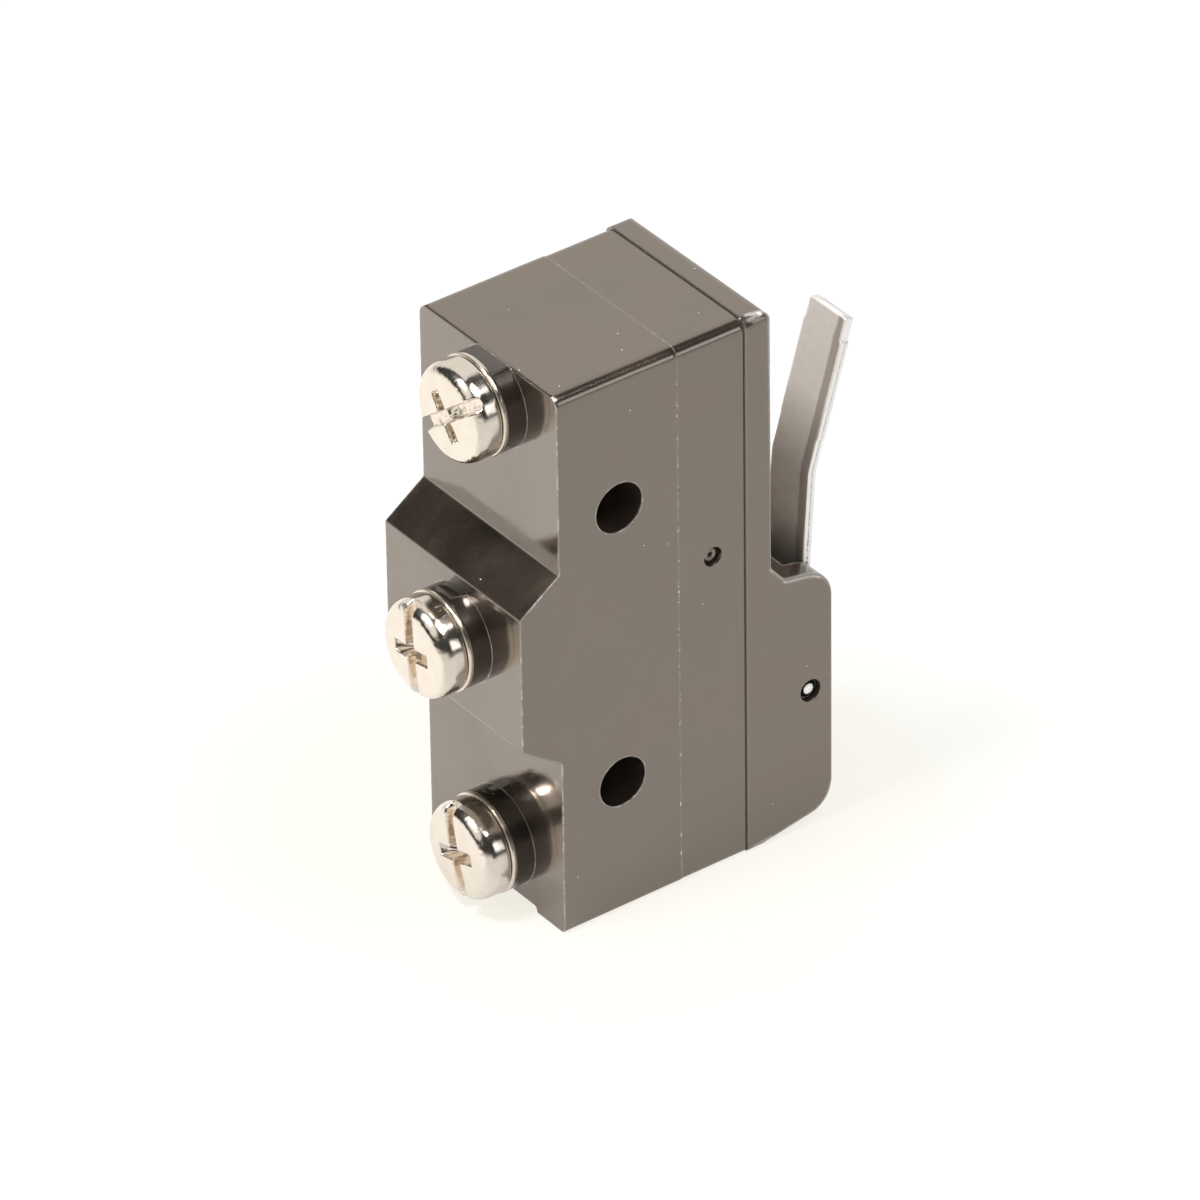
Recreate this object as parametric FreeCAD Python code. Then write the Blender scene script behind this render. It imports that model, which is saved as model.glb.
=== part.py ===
import FreeCAD, Part
import math
import os

# Lever micro switch: a large snap-action switch with screw terminals and a hinged strip lever.
# Millimetres. The origin is the centre of the lower mounting hole, at mid thickness.
# X runs from the terminals to the lever, Y through the thickness, Z up along the body.

V = FreeCAD.Vector

# Mounting holes
hole_pitch = 25.4
hole_diameter = 4.36

# Case, measured from the hole centres
body_thickness = 17.4
end_below_hole = 11.95
end_above_hole = 12.05
terminal_face_depth = 5.75
seam_height = 12.0
top_edge_radius = 1.05
top_corner_radius = 0.2
foot_edge_radius = 0.45
parting_height = 5.6
mould_step = 0.05
case_wall = 2.2
case_end_wall = 1.05
hole_web = 2.2
pocket_floor_wall = 2.6

# How far a cutting shape runs past what it cuts, and how near two places count as one
overrun = 1.0
nearness = 1e-4

# Shallow relief in the end that the switch stands on
foot_relief_width = 10.2
foot_relief_depth = 0.5
foot_relief_length = 7.0
foot_relief_radius = 0.4

# Raised middle block of the terminal face, with slanted ends
block_height = 3.7
block_base_length = 17.4
block_face_length = 12.2
block_shift = 0.1
block_corner_radius = 0.3

# Terminals: places along the body, and the row's offset across it
lower_terminal_below_hole = 6.9
middle_terminal_rise = 0.95
upper_terminal_above_hole = 8.3
terminal_row_offset = -0.75
boss_radius = 4.18
boss_length = 1.6

# Terminal screws, washers and threaded inserts
screw_diameter = 4.0
screw_length = 9.0
screw_clearance = 0.05
head_diameter = 8.2
head_height = 2.6
head_side_height = 1.2
head_face_diameter = 5.6
head_crown_steps = 3
driver_slot_width = 1.15
driver_slot_depth = 1.25
cross_span = 4.4
cross_depth = 1.9
washer_diameter = 8.4
washer_thickness = 0.5
washer_hole_diameter = 4.4
insert_diameter = 5.8
screw_turns = {"lower": -14.9, "middle": -6.4, "upper": 52.3}

# Cover, with the hump that holds the lever
cover_plate = 2.5
cover_overhang = 0.1
cover_top_radius = 1.0
cover_recess_depth = 1.0
hump_height = 5.9
hump_top_above_hole = 12.2
hump_bevel_run = 1.3
hump_bevel_rise = 1.55
hump_root_radius = 0.5
hump_bevel_radius = 0.9
hump_slope = 9.8
hump_top_radius = 2.9
hump_foot_radius = 2.6
hump_foot_run = 7.4
hump_cheek = 2.05
hump_face_wall = 0.55
hump_end_wall = 2.0
hump_top_wall = 1.4
hump_room_rounding = 1.0
edge_break = 0.18

# Lever and its hinge
pin_above_hole = 0.85
pin_to_hump_face = 2.2
pin_diameter = 1.6
pin_clearance = 0.05
pin_end_recess = 0.25
pin_counterbore_diameter = 2.2
pin_counterbore_depth = 0.45
lever_thickness = 0.9
lever_width = 4.65
lever_tip_width = 4.35
lever_tip_length = 1.9
lever_face_offset = 0.18
lever_lean = 3.95
lever_bend_distance = 18.6
lever_bend_lean = 16.5
lever_upper_length = 13.1
lever_bend_radius = 3.0
lever_side_clearance = 0.15
lever_plate_start = 1.75
lever_plate_end = 6.3
ear_radius = 1.45
ear_corner_radius = 0.2
ear_drop = 0.3
lever_travel = 9.0
slot_front_clearance = 0.3
slot_floor_drop = 5.5

# Plunger and its guide in the case
plunger_arm = 4.2
plunger_diameter = 3.2
plunger_clearance = 0.05
plunger_collar_diameter = 4.8
plunger_collar_thickness = 0.75
plunger_tip_diameter = 1.8
plunger_stop_gap = 0.1
plunger_lever_gap = 0.04
pretravel = 0.28
plunger_tip_length = 0.28
plunger_crown_height = 0.6
plunger_crown_steps = 3
guide_thickness = 2.3
guide_margin = 1.6

# Snap blade and contacts
blade_height = 7.4
blade_thickness = 0.25
blade_head_width = 7.2
blade_head_below = 1.2
blade_head_above = 0.3
tension_leaf_width = 2.4
bow_leaf_width = 1.5
bow_leaf_inset = 1.25
bow_leaf_sag = 1.6
blade_hook_width = 4.2
blade_hook_length = 0.8
blade_hook_gap = 0.2
contact_gap = 1.1
contact_diameter = 3.2
contact_thickness = 0.7
contact_stem_diameter = 1.6
contact_seat_gap = 0.03
strip_thickness = 0.8
strip_width = 5.0
terminal_foot_width = 6.6
terminal_foot_margin = 1.0
terminal_end_gap = 0.1
shelf_margin = 0.2
shelf_end_gap = 0.22
riser_gap = 1.0
blade_pivot_below_hole = 6.5
blade_window_margin = 0.22
bow_seat_station = 0.9
bow_seat_gap = 0.05
bow_seat_back = 0.9
bow_seat_lip = 0.4
bow_seat_side = 0.1
bow_notch_back = 0.35
bow_notch_front = 0.45
post_rise = 1.2
window_side_gap = 0.1

# Pins that lock the cover's lugs to the case
lock_pin_rise = 4.5
lock_pin_height = 8.9
lock_pin_diameter = 1.7
lock_pin_recess = 0.3
lock_pin_dimple_diameter = 0.9
lock_pin_dimple_depth = 0.12
lug_thickness = 1.3
lug_length = 4.0
lug_clearance = 0.1

# Heights, edges and axes that follow from the sizes above
half_thickness = body_thickness / 2
foot_z = -end_below_hole
top_z = hole_pitch + end_above_hole
hole_radius = hole_diameter / 2
inner_y = half_thickness - case_wall
floor_x = hole_radius + hole_web
pocket_floor_x = pocket_floor_wall - terminal_face_depth
pocket_low_z = hole_radius + hole_web
pocket_high_z = hole_pitch - hole_radius - hole_web
cavity_low_z = foot_z + case_end_wall
cavity_high_z = top_z - case_end_wall
block_mid_z = hole_pitch / 2 + block_shift
block_face_x = -terminal_face_depth - block_height
cover_face_x = seam_height + cover_plate
contact_station = pocket_high_z - shelf_end_gap - shelf_margin - contact_diameter / 2
hump_face_x = cover_face_x + hump_height
cheek_y = half_thickness + cover_overhang - hump_cheek
terminals = {
    "lower": (-lower_terminal_below_hole, -terminal_face_depth, floor_x),
    "middle": (hole_pitch / 2 + middle_terminal_rise, block_face_x, pocket_floor_x),
    "upper": (hole_pitch + upper_terminal_above_hole, -terminal_face_depth, floor_x),
}
pin_x = hump_face_x - pin_to_hump_face
pin_z = pin_above_hole
plunger_z = pin_z + plunger_arm
blade_low_x = blade_height - blade_thickness / 2
blade_high_x = blade_height + blade_thickness / 2
open_contact_x = blade_low_x - contact_thickness - contact_gap
closed_contact_x = blade_high_x + contact_thickness + contact_seat_gap
guide_low_x = blade_high_x + pretravel + plunger_collar_thickness + plunger_stop_gap
guide_low_x += plunger_tip_length
lock_pin_z = hole_pitch / 2 + lock_pin_rise
pivot_z = -blade_pivot_below_hole


def block(x0, x1, y0, y1, z0, z1):
    """A plain block between two corners."""
    return Part.makeBox(x1 - x0, y1 - y0, z1 - z0, V(x0, y0, z0))


def rod(radius, x0, x1, y, z):
    """A cylinder along X."""
    return Part.makeCylinder(radius, x1 - x0, V(x0, y, z), V(1, 0, 0))


def cross_rod(radius, y0, y1, x, z):
    """A cylinder along Y, through the thickness."""
    return Part.makeCylinder(radius, y1 - y0, V(x, y0, z), V(0, 1, 0))


def rounded_wire(corners, place):
    """A closed outline through corners (a, b, radius), each rounded by its radius."""
    count = len(corners)
    stops = []
    for i, (a, b, radius) in enumerate(corners):
        here = V(a, b, 0)
        if radius == 0:
            stops.append((here, None, here))
            continue
        before = V(*corners[i - 1][:2], 0)
        after = V(*corners[(i + 1) % count][:2], 0)
        back = (before - here).normalize()
        ahead = (after - here).normalize()
        half = back.getAngle(ahead) / 2
        run = radius / math.tan(half)
        centre = here + (back + ahead).normalize() * (radius / math.sin(half))
        middle = centre + (here - centre).normalize() * radius
        stops.append((here + back * run, middle, here + ahead * run))
    edges = []
    for i, (start, middle, end) in enumerate(stops):
        if middle is not None:
            edges.append(Part.Arc(place(start), place(middle), place(end)).toShape())
        following = stops[(i + 1) % count][0]
        if end.distanceToPoint(following) > nearness:
            edges.append(Part.LineSegment(place(end), place(following)).toShape())
    return Part.Wire(edges)


def side_prism(corners, y0, y1):
    """A side profile (x, z, radius) carried through the thickness from y0 to y1."""
    wire = rounded_wire(corners, lambda p: V(p.x, y0, p.y))
    return Part.Face(wire).extrude(V(0, y1 - y0, 0))


def end_prism(corners, x0, x1):
    """An end profile (y, z, radius) carried along X from x0 to x1."""
    wire = rounded_wire(corners, lambda p: V(x0, p.x, p.y))
    return Part.Face(wire).extrude(V(x1 - x0, 0, 0))


def crown(x0, r0, x1, r1, steps):
    """Points (x, r) of a quarter ellipse, from (x0, r0) on a flat end round to (x1, r1) on a side."""
    points = []
    for i in range(steps + 1):
        turn = math.pi / 2 * i / steps
        points.append((x1 + (x0 - x1) * math.cos(turn), r0 + (r1 - r0) * math.sin(turn)))
    return points


def turned(profile, y, z):
    """A profile of (x, r) points turned round an axis along X."""
    points = [V(x, y, z + r) for x, r in profile]
    wire = Part.makePolygon(points + [points[0]])
    return Part.Face(wire).revolve(V(0, y, z), V(1, 0, 0), 360)


def body_section(margin, x0, x1):
    """The body's end outline, with the long edges rounded, grown all round but not at the foot."""
    side = half_thickness + margin
    high = top_z + margin
    corners = [
        (-side, foot_z, foot_edge_radius),
        (-side, high, top_edge_radius),
        (side, high, top_edge_radius),
        (side, foot_z, foot_edge_radius),
    ]
    return end_prism(corners, x0, x1)


def case_outline():
    """The case's side outline with its raised middle block, and the mould step half way up."""
    base = block_base_length / 2
    face = block_face_length / 2
    profile = [
        (-terminal_face_depth, foot_z, 0),
        (-terminal_face_depth, block_mid_z - base, block_corner_radius),
        (block_face_x, block_mid_z - face, block_corner_radius),
        (block_face_x, block_mid_z + face, block_corner_radius),
        (-terminal_face_depth, block_mid_z + base, block_corner_radius),
        (-terminal_face_depth, top_z, top_corner_radius),
        (seam_height, top_z, 0),
        (seam_height, foot_z, 0),
    ]
    outline = side_prism(profile, -half_thickness, half_thickness)
    terminal_half = body_section(0, block_face_x, parting_height)
    cover_half = body_section(-mould_step, parting_height, seam_height)
    return outline.common(terminal_half.fuse(cover_half))


def terminal_bosses():
    """Three round bosses that the terminal screws clamp on, trimmed flush with the top end."""
    bosses = []
    for z, face, inner in terminals.values():
        bosses.append(rod(boss_radius, face - boss_length, face, terminal_row_offset, z))
    inside = body_section(0, block_face_x - boss_length, 0)
    return Part.makeCompound(bosses).common(inside)


def plunger_guide():
    """The bridge across the cavity that guides the plunger."""
    half = plunger_diameter / 2 + guide_margin
    bridge = block(guide_low_x, guide_low_x + guide_thickness, -inner_y, inner_y,
                   plunger_z - half, plunger_z + half)
    bore = rod(plunger_diameter / 2 + plunger_clearance, guide_low_x - overrun,
               guide_low_x + guide_thickness + overrun, 0, plunger_z)
    return bridge.cut(bore)


def case():
    """The moulded case: a deep box, open towards the cover."""
    shell = case_outline().fuse(terminal_bosses().Solids)
    cavity = block(floor_x, seam_height + overrun, -inner_y, inner_y,
                   cavity_low_z, cavity_high_z)
    pocket = block(pocket_floor_x, floor_x + overrun, -inner_y, inner_y,
                   pocket_low_z, pocket_high_z)
    relief_half = foot_relief_width / 2
    relief = end_prism([
        (-relief_half, foot_z - overrun, 0),
        (-relief_half, foot_z + foot_relief_depth, foot_relief_radius),
        (relief_half, foot_z + foot_relief_depth, foot_relief_radius),
        (relief_half, foot_z - overrun, 0),
    ], -terminal_face_depth - overrun, foot_relief_length - terminal_face_depth)
    shell = shell.cut([cavity, pocket, relief])
    side = half_thickness + overrun
    holes = []
    for z in (0, hole_pitch):
        holes.append(cross_rod(hole_radius, -side, side, 0, z))
    for z, face, inner in terminals.values():
        holes.append(rod(insert_diameter / 2, face - boss_length - overrun, inner,
                         terminal_row_offset, z))
    pin_hole = cross_rod(lock_pin_diameter / 2, -side, side, lock_pin_height, lock_pin_z)
    return shell.cut(holes + [pin_hole]).fuse(plunger_guide()).removeSplitter()


def hump_line(distance):
    """Height of the sloping top of the hump, at a distance beyond the cover's face."""
    return hump_top_above_hole - (distance - hump_bevel_run) * math.tan(math.radians(hump_slope))


def cover_profile():
    """The cover's side outline: a plate with a hump whose ends slope and round over."""
    bevel_z = hump_top_above_hole + hump_bevel_rise
    foot_rise = hump_foot_run * math.tan(math.radians(hump_slope))
    return [
        (seam_height, foot_z, 0),
        (seam_height, top_z + cover_overhang, 0),
        (cover_face_x, top_z + cover_overhang, cover_top_radius),
        (cover_face_x, bevel_z, hump_root_radius),
        (cover_face_x + hump_bevel_run, hump_top_above_hole, hump_bevel_radius),
        (hump_face_x, hump_line(hump_height), hump_top_radius),
        (hump_face_x, foot_z + foot_rise, hump_foot_radius),
        (hump_face_x - hump_foot_run, foot_z, hump_foot_radius),
    ]


def soften_sides(shape):
    """Break the outer edges of the cover's two side faces, all but those at the seam."""
    side = half_thickness + cover_overhang
    edges = []
    for edge in shape.Edges:
        box = edge.BoundBox
        on_side = abs(abs(box.YMin) - side) < nearness and box.YLength < nearness
        if on_side and box.XMax > seam_height + edge_break:
            edges.append(edge)
    return shape.makeChamfer(edge_break, edges)


def lever_room():
    """The hollow behind the hump where the lever swings, open towards the case."""
    low = foot_z + hump_end_wall
    high = hump_line(hump_height) - hump_top_wall
    face = hump_face_x - hump_face_wall
    profile = [
        (seam_height - overrun, low, 0),
        (seam_height - overrun, high, 0),
        (face, high, hump_top_radius - hump_room_rounding),
        (face, low, hump_foot_radius - hump_room_rounding),
    ]
    return side_prism(profile, -cheek_y, cheek_y)


def lever_slot():
    """The slot that the lever passes through, open at the hump's outer corner."""
    rise = hump_line(hump_height) - pin_z
    sweep = rise * math.tan(math.radians(lever_travel))
    lean = rise * math.tan(math.radians(lever_lean))
    front = pin_x + lever_face_offset + lean - sweep - slot_front_clearance
    low = -cheek_y
    high = lever_high_y() + lever_side_clearance
    floor = hump_top_above_hole - slot_floor_drop
    return block(front, hump_face_x + overrun, low, high, floor, hump_top_above_hole + overrun)


def cover_lugs():
    """Two lugs that reach into the case, one against each side wall."""
    outer = inner_y - lug_clearance
    low_x = lock_pin_height - lock_pin_diameter
    lugs = []
    for side in (-1, 1):
        near = min(side * outer, side * (outer - lug_thickness))
        lugs.append(block(low_x, seam_height + cover_recess_depth, near, near + lug_thickness,
                          lock_pin_z - lug_length / 2, lock_pin_z + lug_length / 2))
    return lugs


def cover():
    """The moulded cover with the hump, lever slot, pin holes and locking lugs."""
    side = half_thickness + cover_overhang
    shape = soften_sides(side_prism(cover_profile(), -side, side))
    shape = shape.common(body_section(cover_overhang, seam_height - overrun,
                                     hump_face_x + overrun))
    recess_low = hump_top_above_hole + hump_bevel_rise
    recess = block(seam_height - overrun, seam_height + cover_recess_depth, -inner_y, inner_y,
                   recess_low, cavity_high_z)
    cuts = [lever_room(), lever_slot(), recess]
    past = side + overrun
    cuts.append(cross_rod(pin_diameter / 2, -past, past, pin_x, pin_z))
    for start in (-past, side - pin_counterbore_depth):
        end = start + overrun + pin_counterbore_depth
        cuts.append(cross_rod(pin_counterbore_diameter / 2, start, end, pin_x, pin_z))
    shape = shape.cut(cuts).fuse(cover_lugs())
    return shape.cut(cross_rod(lock_pin_diameter / 2, -side, side, lock_pin_height,
                               lock_pin_z)).removeSplitter()


def lock_pin(side):
    """A short pin through the case wall and the cover's lug, with a dimple in its end."""
    outer = half_thickness - mould_step - lock_pin_recess
    inner = inner_y - lug_clearance - lug_thickness
    pin = cross_rod(lock_pin_diameter / 2, inner, outer, 0, 0)
    pin = pin.cut(cross_rod(lock_pin_dimple_diameter / 2, outer - lock_pin_dimple_depth,
                            outer + overrun, 0, 0))
    if side < 0:
        pin = pin.mirror(V(0, 0, 0), V(0, 1, 0))
    pin.translate(V(lock_pin_height, 0, lock_pin_z))
    return pin


def hinge_pin():
    """The pin that the lever turns on, held in both cheeks of the hump."""
    reach = half_thickness + cover_overhang - pin_end_recess
    return cross_rod(pin_diameter / 2, -reach, reach, pin_x, pin_z)


def lever_low_y():
    """The lever's edge beside the near cheek."""
    return -cheek_y + lever_side_clearance


def lever_high_y():
    """The strip's other edge."""
    return lever_low_y() + lever_width


def lever_point(along, out):
    """A point of the lever's side view: along from the pin up its lower part, and out from it."""
    lean = math.radians(lever_lean)
    x = pin_x + along * math.sin(lean) + out * math.cos(lean)
    z = pin_z + along * math.cos(lean) - out * math.sin(lean)
    return x, z


def lever_upper_point(along, out):
    """A point of the lever's upper part, past its bend."""
    lean = math.radians(lever_bend_lean)
    x, z = lever_point(lever_bend_distance, lever_face_offset)
    return (x + along * math.sin(lean) + out * math.cos(lean),
            z + along * math.cos(lean) - out * math.sin(lean))


def lever_strip():
    """The strip of the lever, bent once, with a narrower tip."""
    near = lever_face_offset
    far = lever_face_offset + lever_thickness
    half_turn = math.radians(lever_bend_lean - lever_lean) / 2
    outer_bend = lever_bend_distance - lever_thickness * math.tan(half_turn)
    corners = [
        (*lever_point(lever_plate_start, near), 0),
        (*lever_point(lever_bend_distance, near), lever_bend_radius + lever_thickness),
        (*lever_upper_point(lever_upper_length, 0), 0),
        (*lever_upper_point(lever_upper_length, lever_thickness), 0),
        (*lever_point(outer_bend, far), lever_bend_radius),
        (*lever_point(lever_plate_start, far), 0),
    ]
    strip = side_prism(corners, lever_low_y(), lever_high_y())
    shoulder = lever_upper_length - lever_tip_length
    trim = (lever_width - lever_tip_width) / 2
    edge = [
        (*lever_upper_point(shoulder, -overrun), 0),
        (*lever_upper_point(lever_upper_length + overrun, -overrun), 0),
        (*lever_upper_point(lever_upper_length + overrun, lever_thickness + overrun), 0),
        (*lever_upper_point(shoulder, lever_thickness + overrun), 0),
    ]
    near_cut = side_prism(edge, lever_low_y() - overrun, lever_low_y() + trim)
    far_cut = side_prism(edge, lever_high_y() - trim, lever_high_y() + overrun)
    return strip.cut([near_cut, far_cut])


def lever_ear(y0):
    """A side ear of the lever, folded back from its base plate to the hinge pin."""
    far = lever_face_offset + lever_thickness
    corners = [
        (*lever_point(0, -ear_radius), 0),
        (*lever_point(lever_plate_end / 2, -ear_radius), 5 * ear_corner_radius),
        (*lever_point(lever_plate_end, lever_face_offset - ear_drop), ear_corner_radius),
        (*lever_point(lever_plate_end, far), ear_corner_radius),
        (*lever_point(0, far), 0),
    ]
    ear = side_prism(corners, y0, y0 + lever_thickness)
    eye = cross_rod(ear_radius, y0, y0 + lever_thickness, pin_x, pin_z)
    return ear.fuse(eye)


def lever():
    """The lever, one folded sheet: strip, base plate across the hump, and two ears on the pin."""
    near = lever_face_offset
    far = near + lever_thickness
    low = lever_low_y()
    plate = [
        (*lever_point(lever_plate_start, near), 0),
        (*lever_point(lever_plate_end, near), 0),
        (*lever_point(lever_plate_end, far), 0),
        (*lever_point(lever_plate_start, far), 0),
    ]
    base = side_prism(plate, low, -low)
    ears = [lever_ear(low), lever_ear(-low - lever_thickness)]
    shape = lever_strip().fuse([base] + ears)
    bore = cross_rod(pin_diameter / 2 + pin_clearance, low - overrun, overrun - low, pin_x, pin_z)
    return shape.cut(bore).removeSplitter()


def plunger():
    """The plunger: a domed stem in the guide, a stop collar, and a small tip over the blade."""
    radius = plunger_diameter / 2
    lean = math.radians(lever_lean)
    back = pin_x + plunger_arm * math.tan(lean) + lever_face_offset / math.cos(lean)
    top = back - plunger_lever_gap / math.cos(lean)
    collar = guide_low_x - plunger_stop_gap
    tip = blade_high_x + pretravel
    profile = [
        (tip, 0),
        (tip, plunger_tip_diameter / 2),
        (collar - plunger_collar_thickness, plunger_tip_diameter / 2),
        (collar - plunger_collar_thickness, plunger_collar_diameter / 2),
        (collar, plunger_collar_diameter / 2),
        (collar, radius),
    ]
    dome = crown(top, 0, top - plunger_crown_height, radius, plunger_crown_steps)
    return turned(profile + dome[::-1], 0, plunger_z)


def snap_blade():
    """The three-leaf snap blade: a flat middle leaf in tension and two bowed leaves beside it."""
    head_low = contact_station - contact_diameter / 2 - blade_head_below
    head_high = contact_station + contact_diameter / 2 + blade_head_above
    half_head = blade_head_width / 2
    half_leaf = tension_leaf_width / 2
    hook_low = pivot_z - strip_thickness / 2 - blade_hook_gap - blade_hook_length
    head = block(blade_low_x, blade_high_x, -half_head, half_head, head_low, head_high)
    leaf = block(blade_low_x, blade_high_x, -half_leaf, half_leaf, hook_low, head_low)
    hook = block(blade_low_x, blade_high_x, -blade_hook_width / 2, blade_hook_width / 2,
                 hook_low, hook_low + blade_hook_length)
    bows = []
    for low_y in (-half_head, half_head - bow_leaf_width):
        bows.append(bow_leaf(low_y, head_low))
    blade = head.fuse([leaf, hook] + bows)
    stem = rod(contact_stem_diameter / 2, blade_low_x - overrun, blade_high_x + overrun, 0,
               contact_station)
    return blade.cut(stem).removeSplitter()


def bow_leaf(low_y, head_low):
    """One bowed leaf, an arc from the blade's head down to its seat on the common terminal."""
    start = V(blade_height, 0, head_low + blade_thickness)
    end = V(blade_height - bow_leaf_inset, 0, bow_seat_station)
    chord = end - start
    square = V(chord.z, 0, -chord.x).normalize()
    if square.x > 0:
        square = -square
    middle = (start + end) * 0.5 + square * bow_leaf_sag
    centre = Part.Arc(start, middle, end).toShape().Curve.Center
    rims = []
    for shift in (blade_thickness / 2, -blade_thickness / 2):
        rim = []
        for point in (start, middle, end):
            spot = point + (point - centre).normalize() * shift
            rim.append(V(spot.x, low_y, spot.z))
        rims.append(rim)
    outer, inner = rims
    wire = Part.Wire([
        Part.Arc(*outer).toShape(),
        Part.LineSegment(outer[2], inner[2]).toShape(),
        Part.Arc(inner[2], inner[1], inner[0]).toShape(),
        Part.LineSegment(inner[0], outer[0]).toShape(),
    ])
    return Part.Face(wire).extrude(V(0, bow_leaf_width, 0))


def contact_rivet(face, back, stem_end):
    """A contact: a button from its face to its back, and a rivet stem beyond."""
    button = rod(contact_diameter / 2, min(face, back), max(face, back), 0, contact_station)
    stem = rod(contact_stem_diameter / 2, min(back, stem_end), max(back, stem_end), 0,
               contact_station)
    return button.fuse(stem).removeSplitter()


def moving_contact():
    """The double contact riveted through the blade's head."""
    low = contact_rivet(blade_low_x - contact_thickness, blade_low_x, blade_height)
    high = contact_rivet(blade_high_x + contact_thickness, blade_high_x, blade_height)
    return low.fuse(high).removeSplitter()


def open_contact():
    """The fixed contact that the blade closes on when the lever is pressed."""
    back = open_contact_x - contact_thickness
    return contact_rivet(open_contact_x, back, back - strip_thickness)


def closed_contact():
    """The fixed contact that the blade rests on while the lever is free."""
    back = closed_contact_x + contact_thickness
    return contact_rivet(closed_contact_x, back, back + strip_thickness)


def foot_with_hole(z0, z1, station, face):
    """A terminal's flat foot on the case and its insert, with the hole for the screw."""
    half = terminal_foot_width / 2
    foot = block(face, face + strip_thickness, terminal_row_offset - half,
                 terminal_row_offset + half, z0, z1)
    hole = rod(screw_diameter / 2, face - overrun, face + strip_thickness + overrun,
               terminal_row_offset, station)
    return foot.cut(hole)


def common_terminal():
    """The common terminal: foot, post with the blade's window, and two seats for the bowed leaves."""
    station, face, inner = terminals["lower"]
    half_post = strip_thickness / 2
    half_head = blade_head_width / 2
    foot = foot_with_hole(cavity_low_z + terminal_end_gap, bow_seat_station + strip_thickness,
                          station, inner)
    post = block(inner, blade_height + post_rise, -half_head, half_head,
                 pivot_z - half_post, pivot_z + half_post)
    half_window = tension_leaf_width / 2 + window_side_gap
    window = block(blade_low_x - blade_window_margin, blade_high_x + blade_window_margin,
                   -half_window, half_window, pivot_z - strip_thickness, pivot_z + strip_thickness)
    seat_x = blade_height - bow_leaf_inset
    seat_z = bow_seat_station - bow_seat_gap
    swing = contact_gap * (bow_seat_station - pivot_z) / (contact_station - pivot_z)
    seats = []
    for low_y in (-half_head, half_head - bow_leaf_width):
        high_y = low_y + bow_leaf_width
        seat = block(inner, seat_x + bow_seat_back, low_y - bow_seat_side, high_y + bow_seat_side,
                     seat_z - strip_thickness, seat_z + bow_seat_lip)
        notch = block(seat_x - swing - bow_notch_front, seat_x + bow_notch_back,
                      low_y - overrun, high_y + overrun, seat_z - 2 * bow_seat_gap, seat_z + overrun)
        seats.append(seat.cut(notch))
    # The post stands over the screw's hole, which runs on into it.
    relief = rod(screw_diameter / 2, inner - overrun, inner + strip_thickness,
                 terminal_row_offset, station)
    return foot.fuse([post.cut(window)] + seats).cut(relief).removeSplitter()


def open_terminal():
    """The normally open terminal: foot in the pocket, riser, and shelf for its contact."""
    station, face, inner = terminals["middle"]
    shelf_high = open_contact_x - contact_thickness
    riser_low = contact_station - contact_diameter / 2 - riser_gap
    reach = contact_station + contact_diameter / 2 + shelf_margin
    half = strip_width / 2
    foot_low = station - screw_diameter / 2 - terminal_foot_margin
    foot = foot_with_hole(foot_low, riser_low + strip_thickness, station, inner)
    riser = block(inner, shelf_high, -half, half, riser_low, riser_low + strip_thickness)
    shelf = block(shelf_high - strip_thickness, shelf_high, -half, half, riser_low, reach)
    shape = foot.fuse([riser, shelf])
    hole = rod(contact_stem_diameter / 2, shelf_high - strip_thickness - overrun,
               shelf_high + overrun, 0, contact_station)
    return shape.cut(hole).removeSplitter()


def closed_terminal():
    """The normally closed terminal: foot, riser, and long arm over the blade to its contact."""
    station, face, inner = terminals["upper"]
    arm_low = closed_contact_x + contact_thickness
    riser_low = station - screw_diameter / 2 - terminal_foot_margin
    half = strip_width / 2
    foot = foot_with_hole(riser_low, cavity_high_z - terminal_end_gap, station, inner)
    riser = block(inner, arm_low + strip_thickness, -half, half,
                  riser_low - strip_thickness, riser_low)
    arm = block(arm_low, arm_low + strip_thickness, -half, half,
                contact_station - contact_diameter / 2 - shelf_margin, riser_low)
    shape = foot.fuse([riser, arm])
    hole = rod(contact_stem_diameter / 2, arm_low - overrun, arm_low + strip_thickness + overrun,
               0, contact_station)
    return shape.cut(hole).removeSplitter()


def threaded_insert(name):
    """A sleeve through its boss, from the washer to the terminal's foot, bored for the screw."""
    station, face, inner = terminals[name]
    front = face - boss_length
    sleeve = rod(insert_diameter / 2, front, inner, terminal_row_offset, station)
    return sleeve.cut(rod(screw_diameter / 2, front - overrun, inner + overrun,
                          terminal_row_offset, station))


def cup_washer(name):
    """A washer between the screw head and the boss."""
    station, face, inner = terminals[name]
    back = face - boss_length
    front = back - washer_thickness
    disc = rod(washer_diameter / 2, front, back, terminal_row_offset, station)
    return disc.cut(rod(washer_hole_diameter / 2, front - overrun, back + overrun,
                        terminal_row_offset, station))


def driver_recess(front, station, turn):
    """The driver recess of a screw: a slot right across, and a tapered cross."""
    reach = head_diameter / 2 + overrun
    half = driver_slot_width / 2
    span = cross_span / 2
    tip = front + cross_depth
    slot = block(front - overrun, front + driver_slot_depth, -reach, reach, -half, half)
    outline = [
        V(front - overrun, -span, 0),
        V(front, -span, 0),
        V(tip, -half, 0),
        V(tip, half, 0),
        V(front, span, 0),
        V(front - overrun, span, 0),
    ]
    arms = []
    for quarter in (0, 90):
        wire = Part.makePolygon(outline + [outline[0]])
        arm = Part.Face(wire).extrude(V(0, 0, driver_slot_width))
        arm.translate(V(0, 0, -half))
        arm.rotate(V(0, 0, 0), V(1, 0, 0), quarter)
        arms.append(arm)
    recess = slot.fuse(arms)
    recess.rotate(V(0, 0, 0), V(1, 0, 0), turn)
    recess.translate(V(0, terminal_row_offset, station))
    return recess


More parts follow.
